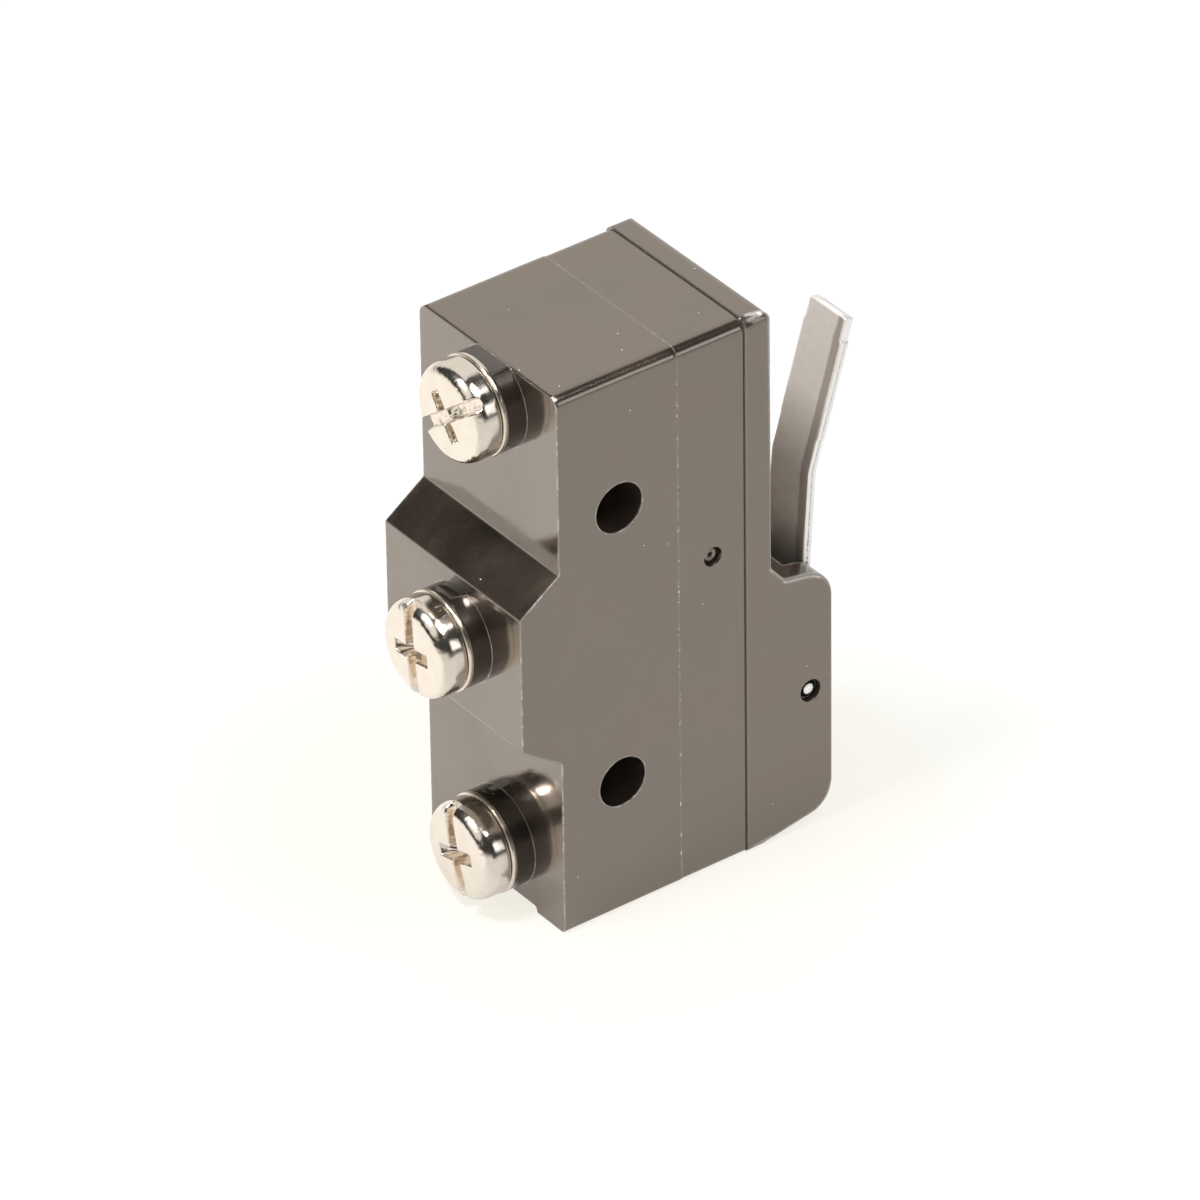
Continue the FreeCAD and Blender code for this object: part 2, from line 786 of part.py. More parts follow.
def terminal_screw(name):
    """A pan head terminal screw with a slot and cross recess."""
    station, face, inner = terminals[name]
    seat = face - boss_length - washer_thickness
    front = seat - head_height
    side = seat - head_side_height
    radius = head_diameter / 2
    shank = screw_diameter / 2 - screw_clearance
    end = seat + screw_length
    head = crown(front, head_face_diameter / 2, side, radius, head_crown_steps)
    profile = [(front, 0)] + head + [
        (seat, radius),
        (seat, shank),
        (end, shank),
        (end, 0),
    ]
    body = turned(profile, terminal_row_offset, station)
    slot_turn = 90 + screw_turns[name]
    return body.cut(driver_recess(front, station, slot_turn))


def build():
    """Every piece of the switch, by name."""
    pieces = {
        "case": case(),
        "cover": cover(),
        "cover_lock_pin_near": lock_pin(-1),
        "cover_lock_pin_far": lock_pin(1),
        "hinge_pin": hinge_pin(),
        "lever": lever(),
        "plunger": plunger(),
        "snap_blade": snap_blade(),
        "moving_contact": moving_contact(),
        "normally_open_contact": open_contact(),
        "normally_closed_contact": closed_contact(),
        "common_terminal": common_terminal(),
        "normally_open_terminal": open_terminal(),
        "normally_closed_terminal": closed_terminal(),
    }
    roles = {"lower": "common", "middle": "normally_open", "upper": "normally_closed"}
    for place, role in roles.items():
        pieces["threaded_insert_" + role] = threaded_insert(place)
        pieces["cup_washer_" + role] = cup_washer(place)
        pieces["terminal_screw_" + role] = terminal_screw(place)
    return pieces


os.makedirs("parts", exist_ok=True)
for node, shape in build().items():
    solids = shape.Solids
    whole = solids[0] if len(solids) == 1 else Part.makeCompound(solids)
    whole.exportStep("parts/" + node + ".step")
    box = whole.BoundBox
    print(node, len(solids), whole.isValid(), round(whole.Volume, 1),
          [round(v, 2) for v in (box.XMin, box.XMax, box.YMin, box.YMax, box.ZMin, box.ZMax)])
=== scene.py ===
"""Lever micro switch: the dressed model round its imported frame, with its studio and camera."""
import logging
import math
from dataclasses import dataclass, replace
from enum import Enum
from typing import Callable, Dict, Optional, Sequence, Tuple, Union

import bmesh
import bpy
import numpy as np
from mathutils import Matrix, Vector


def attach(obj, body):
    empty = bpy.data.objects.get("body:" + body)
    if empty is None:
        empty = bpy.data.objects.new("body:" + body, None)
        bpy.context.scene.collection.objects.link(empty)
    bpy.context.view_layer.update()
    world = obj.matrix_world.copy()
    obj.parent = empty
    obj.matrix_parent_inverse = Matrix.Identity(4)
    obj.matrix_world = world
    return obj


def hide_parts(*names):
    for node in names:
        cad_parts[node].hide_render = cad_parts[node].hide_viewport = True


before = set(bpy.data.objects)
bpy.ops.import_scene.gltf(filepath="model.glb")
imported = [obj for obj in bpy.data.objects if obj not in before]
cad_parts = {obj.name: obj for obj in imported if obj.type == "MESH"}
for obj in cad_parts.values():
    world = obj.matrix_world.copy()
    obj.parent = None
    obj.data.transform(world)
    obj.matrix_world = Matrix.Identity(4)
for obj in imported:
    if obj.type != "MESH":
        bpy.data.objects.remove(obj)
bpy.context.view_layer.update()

Colour = Tuple[float, float, float]
Triple = Tuple[float, float, float]
Outline = Sequence[Tuple[float, float]]
Item = bpy.types.Object
Material = bpy.types.Material
Node = bpy.types.Node
Number = Union[float, np.ndarray]

MM = 0.001
# Where along X the case's parting line is, and its seam with the cover. Lengths are millimetres.
PARTING = 5.6
SEAM = 12.0
# Where along Y the row of screws is, and the x and z of the hinge pin and of the lock pins.
BOSS_Y = -0.75
HINGE = (18.2, 0.85)
LOCK = (8.9, 17.2)
# Points round a pin, and the angle past which its edges are sharp.
PIN_COLUMNS = 72
PIN_CORNER = math.radians(50)

log = logging.getLogger("lever_micro_switch")


class Body(Enum):
    """The moving bodies that pieces ride on."""

    SWITCH = "switch_body"
    LEVER = "lever_arm"


class Station(Enum):
    """The three terminal places, named as their CAD nodes are."""

    COMMON = "common"
    OPEN = "normally_open"
    CLOSED = "normally_closed"


def circle(count: int) -> np.ndarray:
    """Angles evenly spaced round a circle, from 0."""
    return np.linspace(0, 2 * math.pi, count, endpoint=False)


def smooth_step(low: Number, high: Number, value: np.ndarray) -> np.ndarray:
    """Rise from 0 at low to 1 at high with level ends: 3 t squared less 2 t cubed."""
    t = np.clip((value - low) / (high - low), 0, 1)
    return t * t * (3 - 2 * t)


def ramp(run: np.ndarray, length: float) -> np.ndarray:
    """Share of a stretch that is passed: 0 before it, 1 after it."""
    return np.clip(run / length, 0, 1)


def walk(start: Tuple[float, float], run: np.ndarray, turn: np.ndarray) -> np.ndarray:
    """Points that are reached by walking: the sum of the steps along the directions.

    Args:
        start: the point to start from.
        run: the distance walked at each point.
        turn: the direction at each point, as an angle from the second coordinate to the first.

    Returns:
        The points.
    """
    heading = np.stack([np.sin(turn), np.cos(turn)], axis=-1)
    return np.array(start) + np.cumsum(heading * np.diff(run, prepend=run[0])[:, None], axis=0)


def arch(start: Tuple[float, float], rise: float, corner: float, width: float,
         samples: int) -> Tuple[np.ndarray, np.ndarray]:
    """Walk up a side, round a corner, across, round a corner and down the other side.

    Args:
        start: the point to start from.
        rise: length of each side.
        corner: radius of each corner.
        width: length of the stretch between the corners.
        samples: how many points there are.

    Returns:
        The points and the direction at each, which turns evenly over the corners.
    """
    arc = corner * math.pi / 2
    run = np.linspace(0, 2 * (rise + arc) + width, samples)
    turn = (ramp(run - rise, arc) + ramp(run - rise - arc - width, arc)) * math.pi / 2
    return walk(start, run, turn), turn


def ripple(a: np.ndarray, b: np.ndarray, size: float, seed: int, waves: int = 9) -> np.ndarray:
    """Fixed smooth unevenness between about -1 and 1: a sum of plane waves of mixed directions.

    Args:
        a: first coordinate, in millimetres.
        b: second coordinate, in millimetres.
        size: length of a typical wave, in millimetres.
        seed: which unevenness it is.
        waves: how many waves are added up.

    Returns:
        The unevenness at each point.
    """
    random = np.random.default_rng(seed)
    turn = random.uniform(0, 2 * math.pi, waves)
    shift = random.uniform(0, 2 * math.pi, waves)
    pace = 2 * math.pi / (size * random.uniform(0.6, 1.7, waves))
    phase = (a[..., None] * np.cos(turn) + b[..., None] * np.sin(turn)) * pace + shift
    return np.sin(phase).mean(axis=-1) * 1.6


def grid_quads(rows: int, columns: int, closed: bool = True) -> np.ndarray:
    """Number the quads of a grid of points.

    Args:
        rows: how many rows of points there are.
        columns: how many points each row has.
        closed: whether each row closes into a ring.

    Returns:
        An array of quads, four point numbers each.
    """
    row = np.arange(rows - 1)[:, None] * columns
    here = np.arange(columns if closed else columns - 1)[None, :]
    following = (here + 1) % columns
    quads = [row + here, row + following, row + columns + following, row + columns + here]
    return np.stack(quads, axis=-1).reshape(-1, 4)


def mesh_object(name: str, points: np.ndarray, faces: Sequence[Sequence[int]],
                closed: bool = True) -> Item:
    """Put points and faces into a new smooth-shaded object.

    Args:
        name: the piece's name.
        points: the points, in metres.
        faces: point numbers of each face.
        closed: whether the faces close a volume, and are then turned outwards.

    Returns:
        The new object, at the origin, with its place in its mesh.
    """
    mesh = bpy.data.meshes.new(name)
    mesh.from_pydata(points.reshape(-1, 3).tolist(), [], list(faces))
    if closed:
        shape = bmesh.new()
        shape.from_mesh(mesh)
        bmesh.ops.recalc_face_normals(shape, faces=shape.faces)
        shape.to_mesh(mesh)
        shape.free()
    mesh.shade_smooth()
    return link_object(name, mesh)


def link_object(name: str, data: bpy.types.ID) -> Item:
    """Make an object and put it in the scene.

    Args:
        name: the object's name.
        data: its mesh, lamp or camera.

    Returns:
        The new object.
    """
    item = bpy.data.objects.new(name, data)
    bpy.context.scene.collection.objects.link(item)
    return item


def ring_solid(name: str, rings: np.ndarray) -> Item:
    """Make a closed piece from rings of points, with a pole in the middle of each end.

    Args:
        name: the piece's name.
        rings: points as (ring, point of the ring, xyz), in millimetres.

    Returns:
        The new object.
    """
    rows, columns = rings.shape[:2]
    poles = np.stack([rings[0].mean(axis=0), rings[-1].mean(axis=0)])
    here = np.arange(columns)
    following = (here + 1) % columns
    last = (rows - 1) * columns
    start = np.stack([following, here, np.full(columns, rows * columns)], axis=-1)
    end = np.stack([last + here, last + following, np.full(columns, rows * columns + 1)], axis=-1)
    faces = grid_quads(rows, columns).tolist() + start.tolist() + end.tolist()
    return mesh_object(name, np.concatenate([rings.reshape(-1, 3), poles]) * MM, faces)


def hollow_ring(name: str, rings: np.ndarray) -> Item:
    """Make a closed piece with a hole from rings of points, the last of which joins the first.

    Args:
        name: the piece's name.
        rings: points as (ring, point of the ring, xyz), in millimetres.

    Returns:
        The new object.
    """
    rows, columns = rings.shape[:2]
    quads = grid_quads(rows + 1, columns) % (rows * columns)
    return mesh_object(name, rings * MM, quads.tolist())


def turned(along: np.ndarray, radius: np.ndarray, centre: Tuple[float, float], columns: int,
           about_y: bool = False) -> np.ndarray:
    """Turn an outline round an axis: at each distance along it, a circle of the radius there.

    Args:
        along: distance along the axis, with a column of its own or one for each angle.
        radius: distance from the axis, shaped in the same way.
        centre: where the axis is: (y, z) for one along X, or (x, z) for one along Y.
        columns: points round the circle.
        about_y: whether the axis runs along Y and not along X.

    Returns:
        Points as (ring, point of the ring, xyz).
    """
    angle = circle(columns)[None, :]
    across = centre[0] + radius * np.cos(angle)
    up = centre[1] + radius * np.sin(angle)
    along = np.broadcast_to(along, across.shape)
    return np.stack([across, along, up] if about_y else [along, across, up], axis=-1)


def merged_copy(name: str, node: str, cuts: Sequence[float] = ()) -> Item:
    """Copy a CAD node's mesh, with its doubled points merged and its flat faces made whole.

    Args:
        name: the piece's name.
        node: the CAD node to copy.
        cuts: distances along X where its faces are divided, in millimetres, so that the shading
            of long faces does not lean with their ends.

    Returns:
        The new object.
    """
    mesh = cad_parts[node].data.copy()
    mesh.name = name
    mesh.materials.clear()
    shape = bmesh.new()
    shape.from_mesh(mesh)
    bmesh.ops.remove_doubles(shape, verts=shape.verts, dist=0.0005 * MM)
    bmesh.ops.dissolve_limit(shape, angle_limit=math.radians(0.5), verts=shape.verts,
                             edges=shape.edges)
    for cut in cuts:
        bmesh.ops.bisect_plane(shape, geom=shape.verts[:] + shape.edges[:] + shape.faces[:],
                               plane_co=(cut * MM, 0, 0), plane_no=(1, 0, 0))
    shape.to_mesh(mesh)
    shape.free()
    return link_object(name, mesh)


def read_all(rows: bpy.types.bpy_prop_collection, name: str, width: int = 1,
             kind: type = np.float32) -> np.ndarray:
    """Read one property of all of a mesh's vertices, edges or faces.

    Args:
        rows: the vertices, edges or faces.
        name: the property's name.
        width: how many numbers it has.
        kind: their type.

    Returns:
        An array with a row for each of them.
    """
    values = np.zeros(len(rows) * width, kind)
    rows.foreach_get(name, values)
    return values.reshape(-1, width)


def soften(item: Item, width: float, crisp: Sequence[float], crisp_share: float = 0.14,
           angle: float = 32.0) -> None:
    """Round a piece's sharp edges with a live bevel that is narrow along its joint lines.

    Args:
        item: the piece.
        width: width of the rounding, in millimetres.
        crisp: distances along X whose edges are nearly sharp, in millimetres.
        crisp_share: share of the width that those edges get.
        angle: edges that turn more than this are rounded, in degrees.
    """
    mesh = item.data
    mesh.shade_smooth()
    mesh.set_sharp_from_angle(angle=math.radians(angle))
    sharp = mesh.attributes["sharp_edge"].data
    weight = read_all(sharp, "value", kind=bool)[:, 0].astype(np.float32)
    ends = read_all(mesh.edges, "vertices", 2, np.int32)
    ends_x = read_all(mesh.vertices, "co", 3)[ends, 0] / MM
    for line in crisp:
        weight[(np.abs(ends_x - line) < 0.01).all(axis=1)] *= crisp_share
    sharp.foreach_set("value", np.zeros(len(weight), bool))
    layer = mesh.attributes.new("bevel_weight_edge", "FLOAT", "EDGE")
    layer.data.foreach_set("value", weight)
    bevel = item.modifiers.new("soft_edges", "BEVEL")
    bevel.width = width * MM
    bevel.segments = 2
    bevel.limit_method = "WEIGHT"
    bevel.use_clamp_overlap = True
    flat = item.modifiers.new("flat_faces", "WEIGHTED_NORMAL")
    flat.mode = "FACE_AREA"
    flat.weight = 60


@dataclass(frozen=True)
class Value:
    """What a node puts out, with arithmetic that adds Math nodes to its graph."""

    graph: "Graph"
    socket: bpy.types.NodeSocket

    def __add__(self, other: "Signal") -> "Value":
        """This and another added."""
        return self.graph.math("ADD", self, other)

    def __sub__(self, other: "Signal") -> "Value":
        """This less another."""
        return self.graph.math("SUBTRACT", self, other)

    def __rsub__(self, other: float) -> "Value":
        """A number less this."""
        return self.graph.math("SUBTRACT", other, self)

    def __mul__(self, other: "Signal") -> "Value":
        """This times another."""
        return self.graph.math("MULTIPLY", self, other)

    def __truediv__(self, other: "Signal") -> "Value":
        """This divided by another."""
        return self.graph.math("DIVIDE", self, other)

    def size(self) -> "Value":
        """This without its sign."""
        return self.graph.math("ABSOLUTE", self)

    def at_least(self, other: "Signal") -> "Value":
        """The greater of this and another."""
        return self.graph.math("MAXIMUM", self, other)

    def clamped(self) -> "Value":
        """This, held between 0 and 1 by the Math node that makes it."""
        self.socket.node.use_clamp = True
        return self

    def span(self, low: float, high: float, to_low: float = 0.0, to_high: float = 1.0) -> "Value":
        """Map this smoothly from one range to another, and hold it there outside.

        Args:
            low: start of its own range.
            high: end of its own range.
            to_low: what the start becomes.
            to_high: what the end becomes.

        Returns:
            The mapped value.
        """
        return self.graph.value("ShaderNodeMapRange", "Result", {
            "Value": self, "From Min": low, "From Max": high, "To Min": to_low,
            "To Max": to_high}, interpolation_type="SMOOTHSTEP")


Signal = Union[Value, float, Sequence[float]]
Given = Dict[Union[str, int], Signal]


@dataclass(frozen=True)
class Graph:
    """A node tree with short calls that add nodes and join them."""

    tree: bpy.types.NodeTree

    def feed(self, node: Node, given: Given) -> None:
        """Link values to a node's inputs, or write plain numbers and colours on them.

        Args:
            node: the node.
            given: what goes to each input, by its name or number.
        """
        for key, source in given.items():
            target = node.inputs[key]
            if isinstance(source, Value):
                self.tree.links.new(source.socket, target)
            else:
                target.default_value = (*source, 1) if target.type == "RGBA" else source

    def add(self, kind: str, given: Optional[Given] = None, **settings: object) -> Node:
        """Add a node.

        Args:
            kind: the node's type.
            given: what goes to its inputs.
            **settings: its properties, which are set first.

        Returns:
            The node.
        """
        node = self.tree.nodes.new(kind)
        for key, value in settings.items():
            setattr(node, key, value)
        self.feed(node, given or {})
        return node

    def value(self, kind: str, output: Union[str, int], given: Optional[Given] = None,
              **settings: object) -> Value:
        """Add a node and take one of its outputs."""
        return Value(self, self.add(kind, given, **settings).outputs[output])

    def outputs(self, node: Node) -> Dict[str, Value]:
        """All named outputs of a node, by name."""
        return {socket.name: Value(self, socket) for socket in node.outputs if socket.name}

    def math(self, operation: str, a: Signal, b: Signal = 0.0) -> Value:
        """Join two numbers with a Math node."""
        return self.value("ShaderNodeMath", 0, {0: a, 1: b}, operation=operation)

    def vector(self, operation: str, *given: Signal) -> Value:
        """Join vectors with a Vector Math node.

        Args:
            operation: what the node does.
            *given: its vectors.

        Returns:
            The vector or the number that the operation gives.
        """
        output = "Value" if operation in ("DOT_PRODUCT", "DISTANCE", "LENGTH") else "Vector"
        return self.value("ShaderNodeVectorMath", output, dict(enumerate(given)),
                          operation=operation)

    def mix(self, share: Signal, a: Signal, b: Signal) -> Value:
        """Mix two colours."""
        return self.value("ShaderNodeMix", 2, {0: share, 6: a, 7: b}, data_type="RGBA")

    def blend(self, share: Signal, a: Signal, b: Signal) -> Value:
        """Mix two numbers."""
        return self.value("ShaderNodeMix", 0, {0: share, 2: a, 3: b}, data_type="FLOAT")

    def noise(self, place: Value, scale: Signal, detail: float = 3.0,
              roughness: float = 0.55) -> Value:
        """Noise between 0 and 1 at a place."""
        return self.value("ShaderNodeTexNoise", "Fac", {
            "Vector": place, "Scale": scale, "Detail": detail, "Roughness": roughness})

    def stretched(self, place: Value, scale: Triple, turn: Triple = (0.0, 0.0, 0.0)) -> Value:
        """Turn and stretch a place, as for grain that runs one way."""
        return self.value("ShaderNodeMapping", "Vector", {
            "Vector": place, "Rotation": [math.radians(a) for a in turn], "Scale": scale})

    def millimetres(self) -> Value:
        """The place on the piece, in millimetres."""
        place = self.value("ShaderNodeTexCoord", "Object")
        return self.stretched(place, (1 / MM, 1 / MM, 1 / MM))

    def axes(self, place: Value) -> Tuple[Value, Value, Value]:
        """The X, Y and Z of a place."""
        return tuple(self.outputs(self.add("ShaderNodeSeparateXYZ", {0: place})).values())

    def rays(self, *kinds: str) -> Sequence[Value]:
        """Whether what looks at the surface is a ray of each kind."""
        path = self.outputs(self.add("ShaderNodeLightPath"))
        return [path["Is {} Ray".format(kind)] for kind in kinds]

    def effect(self, effect: "Effect", **given: Signal) -> Dict[str, Value]:
        """Place a shared effect, feed its inputs by name and take its outputs."""
        named = {key.capitalize(): value for key, value in given.items()}
        return self.outputs(self.add("ShaderNodeGroup", named, node_tree=effect.group()))

    def relief(self, height: Value, depth: float, normal: Value) -> Value:
        """The normal of a height that is a share of a depth in millimetres."""
        return self.value("ShaderNodeBump", "Normal", {
            "Normal": normal, "Strength": 1.0, "Distance": depth * MM, "Height": height})


def empty_graph(owner: Union[Material, bpy.types.World]) -> Graph:
    """Clear a node tree.

    Args:
        owner: the material or world that has it.

    Returns:
        The graph of the tree.
    """
    owner.use_nodes = True
    owner.node_tree.nodes.clear()
    return Graph(owner.node_tree)


def new_surface(name: str) -> Tuple[Material, Graph, Node]:
    """Start a material with a surface shader.

    Args:
        name: the material's name.

    Returns:
        The material, its graph and its shader, which is joined to the output.
    """
    material = bpy.data.materials.new(name)
    graph = empty_graph(material)
    shader = graph.add("ShaderNodeBsdfPrincipled")
    graph.add("ShaderNodeOutputMaterial", {"Surface": Value(graph, shader.outputs["BSDF"])})
    return material, graph, shader


@dataclass(frozen=True)
class Effect:
    """A surface effect that several finishes share: a node group, which is made once.

    Its first input is the vector Place, and its others are numbers. Its function adds the nodes
    to the group's graph, from its inputs by name, and returns the outputs in order.
    """

    name: str
    inputs: Sequence[str]
    outputs: Sequence[str]
    nodes: Callable[[Graph, Dict[str, Value]], Sequence[Value]]

    def group(self) -> bpy.types.NodeTree:
        """Make the node group with its named sockets, unless it is there.

        Returns:
            The node group.
        """
        if self.name not in bpy.data.node_groups:
            tree = bpy.data.node_groups.new(self.name, "ShaderNodeTree")
            tree.interface.new_socket("Place", in_out="INPUT", socket_type="NodeSocketVector")
            for label in self.inputs:
                tree.interface.new_socket(label, in_out="INPUT", socket_type="NodeSocketFloat")
            for label in self.outputs:
                kind = "NodeSocketVector" if label == "Normal" else "NodeSocketFloat"
                tree.interface.new_socket(label, in_out="OUTPUT", socket_type=kind)
            graph = Graph(tree)
            made = self.nodes(graph, graph.outputs(graph.add("NodeGroupInput")))
            graph.add("NodeGroupOutput", dict(zip(self.outputs, made)))
        return bpy.data.node_groups[self.name]


def edge_wear(graph: Graph, given: Dict[str, Value]) -> Sequence[Value]:
    """Rounded edges: a broken mask where their normal leaves the true one, and that normal.

    Args:
        graph: the group's graph.
        given: Place, Radius in millimetres, Onset and Breakup.

    Returns:
        The mask and the normal.
    """
    rounded = graph.value("ShaderNodeBevel", "Normal", {"Radius": given["Radius"] * MM}, samples=4)
    true = graph.value("ShaderNodeNewGeometry", "Normal")
    away = 1.0 - graph.vector("DOT_PRODUCT", rounded, true)
    edge = (away / given["Onset"]).span(1.0, 5.0)
    patches = graph.noise(given["Place"], 1.3, 5.0, 0.7).span(0.42, 0.62)
    return (edge * patches.at_least(1.0 - given["Breakup"])).clamped(), rounded


def scratches(graph: Graph, given: Dict[str, Value]) -> Sequence[Value]:
    """Hairline scratches: thin crests of long drawn-out noise, in three crossing directions.

    Args:
        graph: the group's graph.
        given: Place and Density.

    Returns:
        The mask.
    """
    place = given["Place"]
    bent = graph.value("ShaderNodeTexNoise", "Color", {"Vector": place, "Scale": 0.11})
    bent = graph.vector("MULTIPLY_ADD", bent, (3.0, 3.0, 3.0), place)
    total: Signal = 0.0
    for turn, scale in (((12.0, 34.0, 25.0), 1.0), ((-20.0, -52.0, -38.0), 1.5),
                        ((61.0, 7.0, 80.0), 0.8)):
        drawn = graph.stretched(bent, (0.05 * scale, 2.6 * scale, 2.6 * scale), turn)
        thin = (graph.noise(drawn, 1.0, 2.0) - 0.5).size().span(0.012, 0.0)
        where = graph.noise(graph.stretched(place, (1, 1, 1), turn), 0.28 * scale, 2.0)
        there = ((where - (0.78 - given["Density"] * 0.3)) * 9.0).clamped()
        total = (thin * there).at_least(total)
    return (total,)


def dust(graph: Graph, given: Dict[str, Value]) -> Sequence[Value]:
    """Sparse specks of dust: the small middles of a few random cells.

    Args:
        graph: the group's graph.
        given: Place, Cells for each millimetre and Share of the cells that have a speck.

    Returns:
        The mask.
    """
    cells = graph.outputs(graph.add("ShaderNodeTexVoronoi", {"Vector": given["Place"],
                                                             "Scale": given["Cells"]}))
    pick = graph.value("ShaderNodeSeparateColor", "Red", {"Color": cells["Color"]})
    return (cells["Distance"].span(0.07, 0.03) * graph.math("LESS_THAN", pick, given["Share"]),)


def mottle(graph: Graph, given: Dict[str, Value]) -> Sequence[Value]:
    """Clouded unevenness of a moulded or rolled surface, coarse and fine together.

    Args:
        graph: the group's graph.
        given: Place and Scale.

    Returns:
        The coarse clouds and the fine grain.
    """
    coarse = graph.noise(given["Place"], given["Scale"], 5.0, 0.6)
    return coarse.span(0.3, 0.7), graph.noise(given["Place"], given["Scale"] * 22.0, 3.0, 0.6)


EDGE_WEAR_AND_HIGHLIGHT = Effect("edge_wear", ("Radius", "Onset", "Breakup"), ("Mask", "Normal"), edge_wear)
SCRATCHES = Effect("scratches", ("Density",), ("Mask",), scratches)
DUST = Effect("dust", ("Cells", "Share"), ("Mask",), dust)
MOTTLE = Effect("mottle", ("Scale",), ("Cloud", "Fine"), mottle)


@dataclass(frozen=True)
class Moulding:
    """Dark thermoset moulding: polished mould skin, clouding, hairlines, dust and pale edges,
    partly worn and partly painted highlight.
    """

    name: str
    colour: Colour = (0.022, 0.0165, 0.0125)
    cloud_colour: Colour = (0.064, 0.049, 0.038)
    wear_and_highlight_colour: Colour = (0.93, 0.90, 0.86)
    roughness: float = 0.13
    index: float = 2.66
    coat: float = 1.0
    coat_roughness: float = 0.07
    tint: Colour = (1.0, 0.865, 0.74)
    wear_and_highlight: float = 0.9
    relief: float = 0.0022
    cloud_scale: float = 0.13
    cloud_share: float = 0.58
    smear_share: float = 0.36
    scratched: float = 0.16
    scratch_share: float = 0.07
    line_wear: float = 0.12
    dusty: float = 0.12
    dust_share: float = 0.8
    edge_breakup: float = 0.62
    edge_radius: float = 0.26
    edge_onset: float = 0.035
    unmarked_edge_spots: Sequence[Triple] = ((*HINGE, 1.25), (*LOCK, 1.0))
    flow_run: Tuple[Triple, Triple] = ((0.07, 0.5, 0.06), (8.0, 14.0, 0.0))
    smear_run: Tuple[Triple, Triple] = ((0.05, 0.3, 0.22), (0.0, 32.0, 0.0))
    line: Optional[float] = None
    line_depth: float = 5.0
    chipped_below: float = 36.6

    def away_from_spots(self, graph: Graph, place: Value) -> Value:
        """Rise from 0 round each spot whose edges are neither worn nor painted with highlight,
        seen along Y, to 1 a little away from all of them.

        Args:
            graph: the material's graph.
            place: the place on the piece, in millimetres.

        Returns:
            The share.
        """
        flat = graph.stretched(place, (1.0, 0.0, 1.0))
        away: Signal = 1.0
        for x, z, reach in self.unmarked_edge_spots:
            apart = graph.vector("DISTANCE", flat, (x, 0.0, z))
            away = apart.span(reach, reach + 0.5) * away
        return away

    def make(self) -> Material:
        """Build the material.

        Returns:
            The material.
        """
        material, graph, shader = new_surface(self.name)
        place = graph.millimetres()
        x, _, z = graph.axes(place)
        cloud = graph.effect(MOTTLE, place=place, scale=self.cloud_scale)
        lines = graph.effect(SCRATCHES, place=place, density=self.scratched)["Mask"]
        specks = graph.effect(DUST, place=place, cells=0.9, share=self.dusty)["Mask"]
        away = self.away_from_spots(graph, place)
        edges = graph.effect(EDGE_WEAR_AND_HIGHLIGHT, place=place, onset=self.edge_onset,
                             breakup=self.edge_breakup,
                             radius=(away * self.edge_radius).at_least(0.03))
        flow = graph.noise(graph.stretched(place, *self.flow_run), 1.0, 4.0)
        smear = graph.noise(graph.stretched(place, *self.smear_run), 1.0, 5.0, 0.65)
        smear = smear.span(0.48, 0.72)
        grain = cloud["Fine"].span(0.36, 0.68, -0.08, 0.10)
        shade = cloud["Cloud"] * self.cloud_share + smear * self.smear_share
        shade = (shade + grain).clamped()
        from_seam = (x - SEAM).size().span(0.25, 0.6, self.wear_and_highlight * 0.12, self.wear_and_highlight)
        base = graph.mix(shade, self.colour, self.cloud_colour)
        # Pale edges: partly worn, partly painted highlight. Hairlines, dust and chips are real
        # marks.
        for share in (edges["Mask"] * from_seam * away, lines * self.scratch_share,
                      specks * self.dust_share):
            base = graph.mix(share, base, self.wear_and_highlight_colour)
        rough = (flow - 0.5) * 0.16 + self.roughness + smear * 0.10
        rough = (rough + lines * self.line_wear + specks * 0.5).clamped()
        height = cloud["Fine"] * 0.30 + flow * 1.3 - lines * 0.1 + specks * 2.0
        if self.line is not None:
            off = (x - self.line).size()
            chips = graph.noise(place, 3.4, 2.0).span(0.61, 0.67) * off.span(0.11, 0.05)
            chips = chips * z.span(self.chipped_below + 0.5, self.chipped_below)
            base = graph.mix(chips, base, self.wear_and_highlight_colour)
            height = height - off.span(0.07, 0.0) * self.line_depth
        graph.feed(shader, {
            "Base Color": base, "Roughness": rough, "IOR": self.index,
            "Specular Tint": self.tint, "Coat Roughness": self.coat_roughness, "Coat IOR": 1.5,
            "Coat Weight": shade.span(0.0, 1.0, self.coat, self.coat * 0.45),
            "Normal": graph.relief(height, self.relief, edges["Normal"])})
        return material


